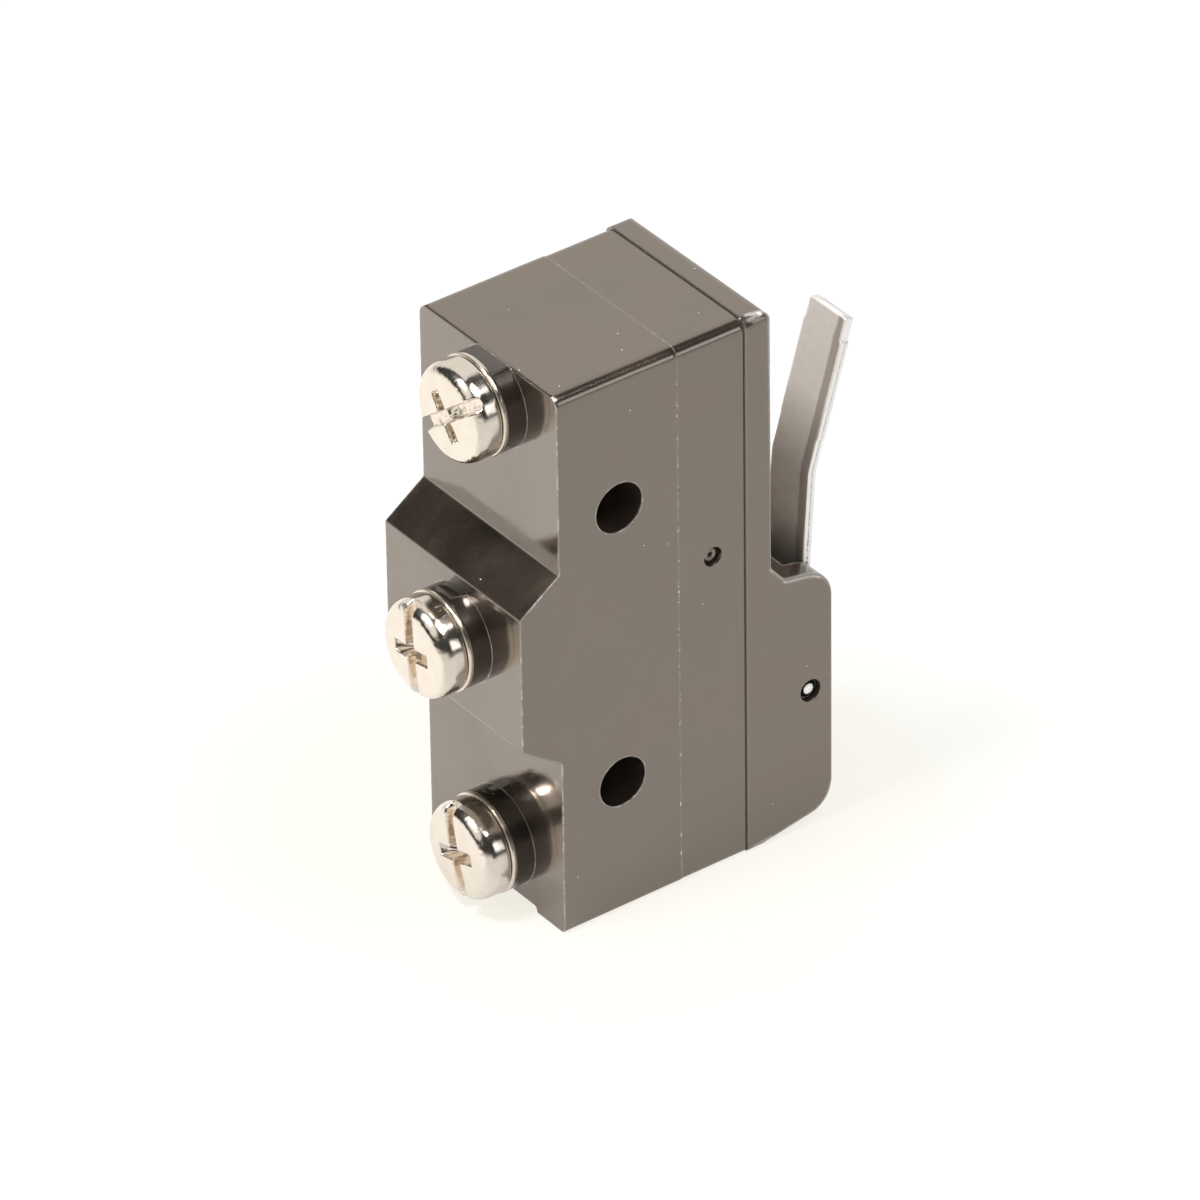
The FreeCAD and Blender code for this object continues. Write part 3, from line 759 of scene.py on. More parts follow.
@dataclass(frozen=True)
class Metal:
    """A metal finish: tint, polish, grain that runs one way, staining, small dents and an optional
    darker strip of painted shade along Y.
    """

    name: str
    colour: Colour
    stain: Colour
    roughness: float
    grain: Triple = (1.0, 1.0, 1.0)
    grain_scale: float = 2.2
    grain_roughness: float = 0.10
    stain_share: float = 0.35
    stain_scale: float = 0.5
    scratched: float = 0.5
    relief: float = 0.002
    worn: float = 0.3
    metallic: float = 1.0
    spotted: float = 0.04
    spot_colour: Colour = (0.97, 0.965, 0.955)
    shade_band: Optional[float] = None
    shade_band_colour: Colour = (0.40, 0.345, 0.295)

    def make(self) -> Material:
        """Build the material.

        Returns:
            The material.
        """
        material, graph, shader = new_surface(self.name)
        place = graph.millimetres()
        cloud = graph.effect(MOTTLE, place=place, scale=self.stain_scale)
        lines = graph.effect(SCRATCHES, place=place, density=self.scratched)["Mask"]
        spots = graph.effect(DUST, place=place, cells=0.8, share=self.spotted)["Mask"]
        edges = graph.effect(EDGE_WEAR_AND_HIGHLIGHT, place=place, radius=0.1, onset=0.03, breakup=0.6)
        grain = graph.noise(graph.stretched(place, self.grain), self.grain_scale, 4.0, 0.65)
        stained = cloud["Cloud"] * self.stain_share
        base = graph.mix(stained, self.colour, self.stain)
        # A darker strip on one side of a line along Y: painted shade of the lever's die roll.
        if self.shade_band is not None:
            beside = graph.axes(place)[1] - graph.noise(place, 0.6) * 0.3
            inside = beside.span(self.shade_band + 0.12, self.shade_band - 0.12)
            base = graph.mix(inside * 0.75, base, self.shade_band_colour)
        base = graph.mix(spots, base, self.spot_colour)
        pale = tuple(min(1.0, c * 1.12) for c in self.colour)
        base = graph.mix(edges["Mask"] * self.worn, base, pale)
        rough = (grain - 0.5) * (self.grain_roughness * 2) + self.roughness + stained * 0.18
        rough = (rough + lines * 0.2).clamped()
        height = grain + cloud["Fine"] * 0.5 - lines * 0.6
        graph.feed(shader, {"Base Color": base, "Metallic": self.metallic, "Roughness": rough,
                            "Normal": graph.relief(height, self.relief, edges["Normal"])})
        return material


CASE_SKIN = Moulding("thermoset_case", line=PARTING)
# The cover's edges get a wider, more even pale line: mostly painted highlight.
COVER_SKIN = Moulding(
    "thermoset_cover", colour=(0.025, 0.0185, 0.014), roughness=0.15, tint=(0.99, 0.85, 0.73),
    edge_breakup=0.22, edge_radius=0.42, edge_onset=0.010)
LIP_SKIN = replace(COVER_SKIN, name="thermoset_lip", wear_and_highlight=0.0)
# Near-black, matt and barely reflecting: painted shade for the recesses of the pins and the hinge
# holes.
RECESS_SHADE = Moulding(
    "grimy_recess", colour=(0.010, 0.007, 0.005), cloud_colour=(0.020, 0.014, 0.010), index=1.3,
    coat=0.0, roughness=0.6, wear_and_highlight=0.0, relief=0.001)
FLASH_SKIN = Moulding("thermoset_flash", wear_and_highlight=0.22)
SEAM_SKIN = Moulding(
    "thermoset_seam", colour=(0.075, 0.055, 0.040), cloud_colour=(0.11, 0.082, 0.060), index=1.5,
    coat=0.2, roughness=0.4, wear_and_highlight=0.05)
# A darker, less reflective copy of the case moulding for the bosses: painted shade.
BOSS_SHADE_SKIN = Moulding(
    "thermoset_boss", colour=(0.012, 0.009, 0.0075), cloud_colour=(0.026, 0.020, 0.016),
    index=1.75, coat=0.5, roughness=0.24, wear_and_highlight=0.0, relief=0.0012, edge_radius=0.06)
PLUNGER_SKIN = Moulding(
    "plunger_moulding_satin", colour=(0.11, 0.09, 0.08), cloud_colour=(0.13, 0.11, 0.10),
    index=1.5, coat=0.2, roughness=0.4, wear_and_highlight=0.3)
NICKEL = Metal(
    "nickel_plate_warm", (0.92, 0.85, 0.765), (0.83, 0.735, 0.63), 0.11, grain_scale=3.0,
    grain_roughness=0.05, stain_share=0.45, stain_scale=0.8, relief=0.004, scratched=0.7)
WASHER_PLATE = Metal(
    "washer_nickel_plate", (0.91, 0.85, 0.77), (0.72, 0.60, 0.48), 0.16, grain_roughness=0.08,
    stain_share=0.5, stain_scale=1.3)
# The lever's steel: its darker strip beside the rolled-off edge is painted shade.
ROLLED_STEEL = Metal(
    "rolled_steel_satin", (0.96, 0.90, 0.845), (0.84, 0.775, 0.715), 0.42, (1.2, 1.2, 0.10), 7.0,
    stain_share=0.6, stain_scale=0.75, relief=0.003, scratched=0.75, metallic=0.62, shade_band=-5.85,
    spotted=0.22)
# Near-white sheared sides: partly the bright fresh shear, partly painted highlight.
SHEARED_STEEL = Metal(
    "sheared_steel_edge", (0.98, 0.97, 0.955), (0.90, 0.88, 0.855), 0.30, (6.0, 0.3, 0.4), 4.0,
    relief=0.006, metallic=0.6)
PIN_STEEL = Metal(
    "drawn_pin_steel", (0.97, 0.965, 0.95), (0.84, 0.82, 0.79), 0.28, (1.0, 0.1, 1.0), 6.0,
    stain_share=0.2, metallic=0.55)
DULL_PIN = Metal(
    "dull_pin_steel", (0.46, 0.41, 0.37), (0.16, 0.13, 0.11), 0.34, stain_share=0.7,
    stain_scale=2.0)
BRASS_STRIP = Metal(
    "pressed_brass", (0.86, 0.66, 0.36), (0.55, 0.36, 0.17), 0.24, (1.0, 1.0, 0.08), 8.0)
BRASS_TURNED = Metal(
    "turned_brass", (0.88, 0.70, 0.40), (0.60, 0.41, 0.20), 0.20, (9.0, 0.5, 0.5), 3.0)
SPRING_COPPER = Metal(
    "spring_copper", (0.84, 0.50, 0.31), (0.55, 0.28, 0.17), 0.20, (1.0, 1.0, 0.06), 9.0)
SILVER = Metal(
    "contact_silver_satin", (0.93, 0.915, 0.88), (0.66, 0.60, 0.50), 0.26, grain_scale=5.0,
    stain_share=0.6, stain_scale=1.6)


def place_piece(item: Item, materials: Sequence[Material], slot: str, *nodes: str,
                body: Body = Body.SWITCH) -> None:
    """Dress a piece, let it ride on its body, and hide the CAD nodes that it stands for.

    Args:
        item: the piece.
        materials: its materials, in the order of their numbers on its faces.
        slot: the record's material slot; not used.
        *nodes: the CAD nodes that it stands for.
        body: the body that it rides on.
    """
    for material in materials:
        item.data.materials.append(material)
    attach(item, body.value)
    if nodes:
        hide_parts(*nodes)
    log.info("%s: %d faces, rides on %s", item.name, len(item.data.polygons), body.value)


def number_faces(item: Item, numbers: np.ndarray) -> None:
    """Say which of a piece's materials each face has."""
    item.data.polygons.foreach_set("material_index", numbers.astype(np.int32))


@dataclass(frozen=True)
class Bead:
    """A ragged half-round bead that runs round the case: its place, size and finish."""

    name: str
    x: float
    height: float
    ragged: float
    skin: Moulding
    quiet_top: float = 0.0
    width: float = 0.11


@dataclass
class Housing:
    """The moulded case and cover, with the beads on the parting line and in the seam."""

    case_edge: float = 0.11
    cover_edge: float = 0.06
    case_cuts: Sequence[float] = (-5.35, 5.2, 11.6)
    side: float = 8.65
    foot: float = -11.7
    top: float = 37.40
    corner: float = 1.05
    samples: int = 900
    bead_columns: int = 12
    boss_reach: float = 4.24
    bosses: Outline = ((-5.75, -6.9), (-9.45, 13.65), (-5.75, 33.7))
    beads: Sequence[Bead] = (Bead("parting_flash", PARTING, 0.05, 0.45, FLASH_SKIN, 0.85),
                             Bead("seam_bead", SEAM - 0.02, 0.06, 0.35, SEAM_SKIN))

    def build(self) -> None:
        """Build and dress the case, the cover and the beads."""
        case = merged_copy("case_shell", "case", self.case_cuts)
        soften(case, self.case_edge, (PARTING, SEAM))
        # Faces on the bosses take the second material, painted shade.
        number_faces(case, self.on_boss(case))
        place_piece(case, (CASE_SKIN.make(), BOSS_SHADE_SKIN.make()), "case_moulding", "case")
        cover = merged_copy("cover_shell", "cover")
        soften(cover, self.cover_edge, (SEAM,))
        place_piece(cover, (COVER_SKIN.make(),), "cover_moulding", "cover")
        for bead in self.beads:
            place_piece(self.build_bead(bead), (bead.skin.make(),), "case_moulding")

    def on_boss(self, case: Item) -> np.ndarray:
        """Find the faces that stand on a boss, in front of the case's own face.

        Args:
            case: the case.

        Returns:
            Whether each face does.
        """
        x, y, z = read_all(case.data.polygons, "center", 3).T / MM
        found = np.zeros(len(x), bool)
        for front, height in self.bosses:
            found |= (np.hypot(y - BOSS_Y, z - height) < self.boss_reach) & (x < front - 0.02)
        return found

    def outline(self) -> Tuple[np.ndarray, np.ndarray]:
        """The case's outline across X: up one side, over the top and down the other.

        Returns:
            Points (y, z) and the outward direction at each.
        """
        line, turn = arch((-self.side, self.foot), self.top - self.corner - self.foot,
                          self.corner, 2 * (self.side - self.corner), self.samples)
        return line, np.stack([-np.cos(turn), np.sin(turn)], axis=-1)

    def build_bead(self, bead: Bead) -> Item:
        """Carry a half-round section along the outline, its height coming and going.

        Args:
            bead: the bead's place and size.

        Returns:
            The new object.
        """
        line, outward = self.outline()
        run = np.linspace(0, 1, self.samples)
        height = 1 - bead.ragged + bead.ragged * ripple(run * 130, run * 0, 5.0, 4)
        on_top = smooth_step(self.top - 0.4, self.top - 0.02, line[:, 1])
        height = bead.height * height * (1 - bead.quiet_top * on_top)
        height = np.clip(height, 0.006, bead.height)
        turn = circle(self.bead_columns)
        lift = height[:, None] * np.maximum(np.sin(turn), -0.6)[None, :]
        x = np.broadcast_to(bead.x + np.cos(turn) * bead.width / 2, lift.shape)
        y, z = (line[:, None, i] + outward[:, None, i] * lift for i in (0, 1))
        return ring_solid(bead.name, np.stack([x, y, z], axis=-1))


@dataclass
class TerminalScrew:
    """A pan head screw with a slot and cross recess, and its washer, on one boss."""

    station: Station
    seat: float
    height: float
    turn: float
    seed: int
    head_radius: float = 4.1
    face_radius: float = 3.2
    head_height: float = 2.6
    side_height: float = 1.2
    dish: float = 0.10
    rim: float = 0.16
    lift: float = 0.06
    slot_width: float = 1.15
    slot_depth: float = 1.22
    cross_span: float = 4.4
    cross_depth: float = 1.85
    wall: float = 0.13
    wall_wave: float = 0.05
    floor_wave: float = 0.10
    polish: float = 0.04
    dent: float = 0.012
    crown_dent: float = 0.022
    burr: float = 0.035
    burr_width: float = 0.09
    shank_radius: float = 1.93
    thread_depth: float = 0.26
    thread_pitch: float = 0.7
    length: float = 9.0
    columns: int = 360
    face_rows: int = 92
    crown_rows: int = 27
    stem_rows: int = 100
    washer_radius: float = 4.2
    washer_hole: float = 2.2
    washer_thickness: float = 0.5
    washer_rows: int = 40
    washer_columns: int = 160
    washer_face: float = 0.22
    washer_edge: float = 0.45

    def profile(self) -> Tuple[np.ndarray, np.ndarray, np.ndarray]:
        """The screw's turned outline from the middle of its face to the middle of its end.

        The face is a shallow dish, the crown and the rim under the head are quarter ellipses,
        and the rest is straight.

        Returns:
            Distance along the screw, radius and share of thread at each point.
        """
        front = self.seat - self.head_height
        edge = front + self.dish
        fall = self.head_height - self.side_height - self.dish
        under = self.seat - self.lift
        last = self.seat + self.length
        reach = np.linspace(0.02, self.face_radius, self.face_rows)
        face = (front + self.dish * (reach / self.face_radius) ** 2, reach)
        turn = np.linspace(0, math.pi / 2, self.crown_rows)[1:]
        crown = (edge + fall * (1 - np.cos(turn)),
                 self.face_radius + (self.head_radius - self.face_radius) * np.sin(turn))
        side = (np.linspace(edge + fall, under - self.rim, 5)[1:], np.full(4, self.head_radius))
        turn = np.linspace(0, math.pi / 2, 6)[1:]
        rim = (under - self.rim + self.rim * np.sin(turn),
               self.head_radius - self.rim * (1 - np.cos(turn)))
        bearing = (np.linspace(under, self.seat, 4)[1:],
                   np.linspace(self.head_radius - 0.5, 2.5, 3))
        neck = ((self.seat, self.seat + 0.1), (2.1, self.shank_radius - 0.1))
        shank = (np.linspace(self.seat + 0.2, last - 0.45, self.stem_rows),
                 np.full(self.stem_rows, self.shank_radius))
        tip = ((last - 0.2, last, last),
               (self.shank_radius - 0.35, self.shank_radius - 0.6, 0.05))
        parts = (face, crown, side, rim, bearing, neck, shank, tip)
        along, radius = (np.concatenate([part[i] for part in parts]) for i in (0, 1))
        thread = np.concatenate([np.full(len(part[0]), float(part is shank)) for part in parts])
        return along, radius, thread

    def recess(self, along: np.ndarray, beside: np.ndarray) -> np.ndarray:
        """Depth of the driver recess below the face.

        The slot is as deep everywhere between its two walls. The cross has two arms whose depth
        falls evenly from the middle to nothing at their ends. The deeper of them holds.

        Args:
            along: distance along the slot, in millimetres.
            beside: distance beside the slot, in millimetres.

        Returns:
            The depth at each point.
        """
        half = self.slot_width / 2
        inner = half - self.wall
        span = self.cross_span / 2
        worn = self.wall_wave * ripple(along, beside, 0.9, self.seed)
        floor = self.floor_wave * ripple(along, beside, 0.7, self.seed + 7)
        depth = (self.slot_depth + floor) * smooth_step(half, inner, np.abs(beside) + worn * 0.4)
        for one, other in ((along, beside), (beside, along)):
            fall = np.clip((span - np.abs(one)) / (span - half * 0.6), 0, 1)
            side = smooth_step(half, inner, np.abs(other) + worn)
            end = smooth_step(span, span - self.wall, np.abs(one))
            depth = np.maximum(depth, (self.cross_depth * fall ** 0.6 + floor) * side * end)
        return depth

    def build_screw(self) -> Item:
        """Turn the outline round the screw's axis, sink the recess and cut the thread.

        The thread takes a triangle wave off the radius, which runs on by one pitch each turn.

        Returns:
            The screw.
        """
        x, radius, thread = (np.repeat(line[:, None], self.columns, axis=1)
                             for line in self.profile())
        angle = circle(self.columns)[None, :]
        wave = (x / self.thread_pitch - angle / (2 * math.pi)) % 1.0
        radius = radius - thread * self.thread_depth * np.abs(2 * wave - 1)
        turn = math.radians(self.turn)
        along = radius * np.cos(angle - turn)
        beside = radius * np.sin(angle - turn)
        on_crown = smooth_step(self.face_radius - 0.2, self.face_radius + 0.2, radius)
        dents = self.dent * ripple(along, beside, 1.1, self.seed + 3)
        dents = dents + self.crown_dent * on_crown * ripple(along, beside, 0.45, self.seed + 4)
        from_burr = (np.abs(beside) - self.slot_width / 2 - 0.07) / self.burr_width
        burr = self.burr * np.exp(-from_burr ** 2)
        burr = burr * (0.5 + 0.5 * ripple(along, beside * 0, 1.5, self.seed + 5))
        skin = x + np.clip(dents, 0, None) + self.polish - np.clip(burr, 0, self.burr)
        sunk = self.seat - self.head_height + self.recess(along, beside)
        x = np.where(x < self.seat - self.side_height, np.maximum(skin, sunk), x)
        rings = turned(x, radius, (BOSS_Y, self.height), self.columns)
        return ring_solid("terminal_screw_head_" + self.station.value, rings)

    def build_washer(self) -> Item:
        """Turn a rectangle with rounded corners, a superellipse, round the screw's axis.

        Returns:
            The washer.
        """
        turn = circle(self.washer_rows)[:, None]
        half = self.washer_thickness / 2
        middle = (self.washer_radius + self.washer_hole) / 2
        reach = (self.washer_radius - self.washer_hole) / 2
        across, along = np.cos(turn), np.sin(turn)
        radius = middle + reach * np.sign(across) * np.abs(across) ** self.washer_face
        x = self.seat + half + half * np.sign(along) * np.abs(along) ** self.washer_edge
        rings = turned(x, radius, (BOSS_Y, self.height), self.washer_columns)
        return hollow_ring("washer_" + self.station.value, rings)

    def build(self, plate: Material, washer_plate: Material) -> None:
        """Build and dress the screw and its washer.

        Args:
            plate: the screw's finish.
            washer_plate: the washer's finish.
        """
        where = self.station.value
        place_piece(self.build_screw(), (plate,), "screw_steel", "terminal_screw_" + where)
        place_piece(self.build_washer(), (washer_plate,), "washer_steel", "cup_washer_" + where)


@dataclass
class Lever:
    """The sheet steel lever: its bent strip with sheared edges, and the folded foot on the pin."""

    offset: float = 0.18
    thickness: float = 0.9
    lean: float = 3.95
    upper_lean: float = 16.5
    bend: float = 18.6
    bend_radius: float = 3.9
    upper: float = 13.1
    start: float = 6.05
    middle_y: float = -4.275
    half_width: float = 2.325
    tip_inset: float = 0.15
    tip_length: float = 2.05
    tip_skew: float = 0.2
    waist_inset: float = 0.07
    waist_length: float = 10.3
    waist_skew: float = 0.5
    step: float = 0.12
    nib: float = 0.035
    nib_width: float = 0.08
    ragged: float = 0.012
    end_length: float = 0.10
    end_inset: float = 0.05
    corner: float = 0.07
    roll: float = 0.15
    roll_width: float = 0.75
    rows: int = 420
    foot_start: float = 1.75
    foot_end: float = 6.3
    foot_gap: float = 0.03
    foot_rows: int = 40
    foot_columns: int = 160
    ear_radius: float = 1.45
    ear_y: float = 6.15
    fold: float = 0.9

    def from_pin(self, along: Number, out: Number, lean: Number) -> Tuple[Number, Number]:
        """The x and z of a place given along and out from a leaning line through the pin."""
        return (HINGE[0] + along * np.sin(lean) + out * np.cos(lean),
                HINGE[1] + along * np.cos(lean) - out * np.sin(lean))

    def leans(self) -> Tuple[float, float, float]:
        """Measure the bend.

        Returns:
            The strip's lean below and above its bend, in radians, and the length that the arc
            takes from each of the two straights.
        """
        low, high = math.radians(self.lean), math.radians(self.upper_lean)
        return low, high, self.bend_radius * math.tan((high - low) / 2)

    def path(self, run: np.ndarray) -> Tuple[np.ndarray, np.ndarray]:
        """The strip's near face seen from the side: a straight, an arc and a straight.

        The direction is the lower lean before the bend and the upper lean after it, and turns
        evenly between them over the arc.

        Args:
            run: distances along the strip from its start, evenly spaced.

        Returns:
            Points (x, z), and the lean at each in radians.
        """
        low, high, tangent = self.leans()
        straight = self.bend - tangent - self.start
        lean = low + (high - low) * ramp(run - straight, self.bend_radius * (high - low))
        return walk(self.from_pin(self.start, self.offset, low), run, lean), lean

    def length(self) -> float:
        """Length of the strip's near face from its start to its tip."""
        low, high, tangent = self.leans()
        return self.bend - 2 * tangent - self.start + self.bend_radius * (high - low) + self.upper

    def section(self) -> Tuple[np.ndarray, np.ndarray, np.ndarray]:
        """The strip's section: a rectangle with small rounded corners, as one closed ring.

        Returns:
            For each point the share of the half width, what it adds to it, and the depth.
        """
        c, t = self.corner, self.thickness
        arc = np.linspace(0, math.pi / 2, 5)
        side = np.linspace(c, t - c, 8)[1:-1]
        face = np.linspace(-1, 1, 40)
        wall = np.concatenate([c - c * np.cos(arc), side, t - c + c * np.sin(arc)])
        out = np.concatenate([c * np.sin(arc), np.full(len(side), c), c * np.cos(arc)])
        level, edge = np.zeros(len(face)), np.ones(len(wall))
        return (np.concatenate([face, edge, -face, -edge]),
                np.concatenate([level, out, level, -out]),
                np.concatenate([level, wall, level + t, wall[::-1]]))

    def build_strip(self) -> Item:
        """Carry the section along the path, narrowed at the tip and the waist.

        Each edge steps in at its own distance from the tip, with a nib beside the step. One edge
        of the near face is rolled off by the square of the distance to it.

        Returns:
            The strip, with the second finish on its sheared sides and its ends.
        """
        total = self.length()
        run = np.linspace(0, total, self.rows)
        line, lean = self.path(run)
        share, extra, depth = (part[None, :] for part in self.section())
        left = total - run[:, None]
        half_depth = self.thickness / 2
        near = share < 0
        tip = self.tip_length - np.where(near, 0.0, self.tip_skew)
        waist = self.waist_length - np.where(near, 0.0, self.waist_skew)
        inset = (smooth_step(tip, tip - self.step, left) * self.tip_inset
                 + smooth_step(waist, waist + self.step, left) * self.waist_inset)
        nib = sum(np.exp(-((left - place) / self.nib_width) ** 2)
                  for place in (self.tip_length + 0.12, self.waist_length - 0.15))
        ragged = self.ragged * ripple(left, depth * 4, 0.8, 21)
        end = smooth_step(self.end_length, 0.0, left) * self.end_inset
        across = share * (self.half_width - self.corner - inset - end) + extra
        across = across - np.sign(share) * np.abs(ragged) * (np.abs(share) > 0.99)
        from_edge = across + self.half_width
        roll = self.roll * np.clip(1 - from_edge / self.roll_width, 0, 1) ** 2
        out = depth + np.where(depth < half_depth, roll, 0.0) + (half_depth - depth) * end * 1.2
        out = out + self.nib * nib * (depth > 0.3) * (np.abs(share) > 0.97)
        out = np.minimum(out, self.thickness)
        x = line[:, 0, None] + out * np.cos(lean)[:, None]
        z = line[:, 1, None] - out * np.sin(lean)[:, None]
        strip = ring_solid("lever_strip", np.stack([x, self.middle_y + across, z], axis=-1))
        sheared = (np.abs(share) > 0.99) & (depth > self.corner * 0.6) & (depth < self.thickness)
        sides = np.tile(sheared[0], self.rows - 1)
        number_faces(strip, np.concatenate([sides, np.ones(2 * sheared.size, bool)]))
        return strip

    def build_foot(self) -> Item:
        """The foot: a base plate with two ears folded back round the pin, as one bent sheet.

        A line runs down one ear, round its fold, across the plate and down the other ear. At each
        point of it the sheet spans from a lower to an upper distance along the lever: round the
        pin and up a taper on the ears, and straight on the plate.

        Returns:
            The foot, with its thickness as a live Solidify.
        """
        ear = self.offset + self.thickness / 2 + self.ear_radius - self.fold
        line, turn = arch((-self.ear_y, -self.ear_radius), ear, self.fold,
                          2 * (self.ear_y - self.fold), self.foot_columns)
        y, out = line.T
        round_pin = -np.sqrt(np.clip(self.ear_radius ** 2 - out ** 2, 0.02, None))
        on_plate = smooth_step(0.25, 0.75, np.sin(turn))
        low = round_pin * (1 - on_plate) + self.foot_start * on_plate
        half = self.foot_end / 2
        high = np.clip(half + (out + self.ear_radius) / 1.33 * half, half, self.foot_end)
        share = np.linspace(0, 1, self.foot_rows)[:, None]
        x, z = self.from_pin(low * (1 - share) + high * share, out, math.radians(self.lean))
        points = np.stack([x, np.broadcast_to(y, x.shape), z], axis=-1) * MM
        quads = grid_quads(self.foot_rows, self.foot_columns, closed=False)
        foot = mesh_object("lever_foot", points, quads.tolist(), closed=False)
        sheet = foot.modifiers.new("sheet", "SOLIDIFY")
        sheet.thickness = (self.thickness - self.foot_gap) * MM
        sheet.offset = 0.0
        return foot

    def build(self) -> None:
        """Build and dress the strip and the foot."""
        steel = ROLLED_STEEL.make()
        place_piece(self.build_strip(), (steel, SHEARED_STEEL.make()), "lever_steel", "lever",
                    body=Body.LEVER)
        place_piece(self.build_foot(), (steel,), "lever_steel", body=Body.LEVER)


@dataclass
class Pins:
    """The hinge pin and the lips of its holes, and the two pins that lock the cover."""

    hinge_reach: float = 8.55
    lock_outer: float = 8.35
    lock_inner: float = 5.1
    lip_face: float = 8.798
    hinge_end: Outline = ((0.0, 0.03), (0.0, 0.41), (0.02, 0.45), (0.06, 0.47), (0.36, 0.48),
                          (0.38, 0.77), (0.45, 0.80))
    hinge_dark: Sequence[int] = (3, 4, 5, 7, 8, 9)
    lock_end: Outline = ((0.10, 0.02), (0.10, 0.22), (0.03, 0.30), (0.0, 0.40), (0.03, 0.50),
                         (0.09, 0.56), (0.12, 0.62), (0.05, 0.70), (0.05, 0.77), (0.12, 0.83),
                         (0.3, 0.845))
    lock_dark: Sequence[int] = (0, 5, 6, 7, 8, 9, 10)
    lip_section: Outline = ((0.3, 0.84), (0.25, 0.86), (0.03, 0.97), (0.0, 1.00), (0.0, 1.14),
                            (0.3, 1.14))
    lip_dark: Sequence[int] = (0, 1)

    def hinge_outline(self) -> Outline:
        """A pin whose ends are turned down to a bright stub, with painted shade on the shoulder
        behind it.
        """
        low = [(a - self.hinge_reach, r) for a, r in self.hinge_end]
        return low + [(-a, r) for a, r in low[::-1]]

    def lock_outline(self, side: int) -> Outline:
        """A pin whose outer end has a raised ring round a dimple.

        Args:
            side: -1 for the near pin and 1 for the far one.

        Returns:
            Points (distance along Y, radius).
        """
        line = [(self.lock_outer - a, r) for a, r in self.lock_end]
        line = line + [(self.lock_inner + 0.1, 0.845), (self.lock_inner, 0.75),
                       (self.lock_inner, 0.02)]
        return [(side * a, r) for a, r in line]

    def turn_piece(self, name: str, axis: Tuple[float, float], outline: Outline,
                   dark: Sequence[int], hollow: bool = False) -> Item:
        """Turn an outline round an axis along Y.

        Args:
            name: the piece's name.
            axis: the x and z of the axis.
            outline: points (distance along Y, radius).
            dark: the rows of faces that have the second material, painted shade.
            hollow: whether the outline closes into a ring round a hole.

        Returns:
            The new object.
        """
        line = np.array(outline)
        rings = turned(line[:, :1], line[:, 1:], axis, PIN_COLUMNS, about_y=True)
        item = (hollow_ring if hollow else ring_solid)(name, rings)
        item.data.set_sharp_from_angle(angle=PIN_CORNER)
        row = np.minimum(np.arange(len(item.data.polygons)) // PIN_COLUMNS, len(line))
        number_faces(item, np.isin(row, dark))
        return item

    def build(self) -> None:
        """Build the three pins, and the lips of the hinge pin's holes."""
        # Each pin and lip has painted shade on its recessed rows.
        recess_shade, lip_skin, dull = RECESS_SHADE.make(), LIP_SKIN.make(), DULL_PIN.make()
        pin = self.turn_piece("hinge_pin_turned", HINGE, self.hinge_outline(), self.hinge_dark)
        place_piece(pin, (PIN_STEEL.make(), recess_shade), "hinge_pin_steel", "hinge_pin")
        for side, where in ((-1, "near"), (1, "far")):
            pin = self.turn_piece("lock_pin_" + where, LOCK, self.lock_outline(side),
                                  self.lock_dark)
            place_piece(pin, (dull, recess_shade), "lock_pin_steel", "cover_lock_pin_" + where)
            section = [(side * (self.lip_face - a), r) for a, r in self.lip_section]
            lip = self.turn_piece("hinge_hole_lip_" + where, HINGE, section, self.lip_dark,
                                  hollow=True)
            place_piece(lip, (lip_skin, recess_shade), "cover_moulding")


@dataclass
class Mechanism:
    """The plunger, blade, contacts, terminals and inserts inside, which keep their CAD meshes."""

    def build(self) -> None:
        """Give each inner node its finish."""
        silver, strip, insert = SILVER.make(), BRASS_STRIP.make(), BRASS_TURNED.make()
        finishes = {"plunger": PLUNGER_SKIN.make(), "snap_blade": SPRING_COPPER.make(),
                    "moving_contact": silver, "normally_open_contact": silver,
                    "normally_closed_contact": silver}
        for station in Station:
            finishes["threaded_insert_" + station.value] = insert
            finishes[station.value + "_terminal"] = strip
        for node, material in finishes.items():
            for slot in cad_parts[node].material_slots:
                slot.material = material
            log.info("%s: CAD mesh in %s", node, material.name)


@dataclass(frozen=True)
class Lamp:
    """A square softbox that faces the switch: its direction, side in metres and watts."""

    name: str
    direction: Triple
    size: float
    power: float


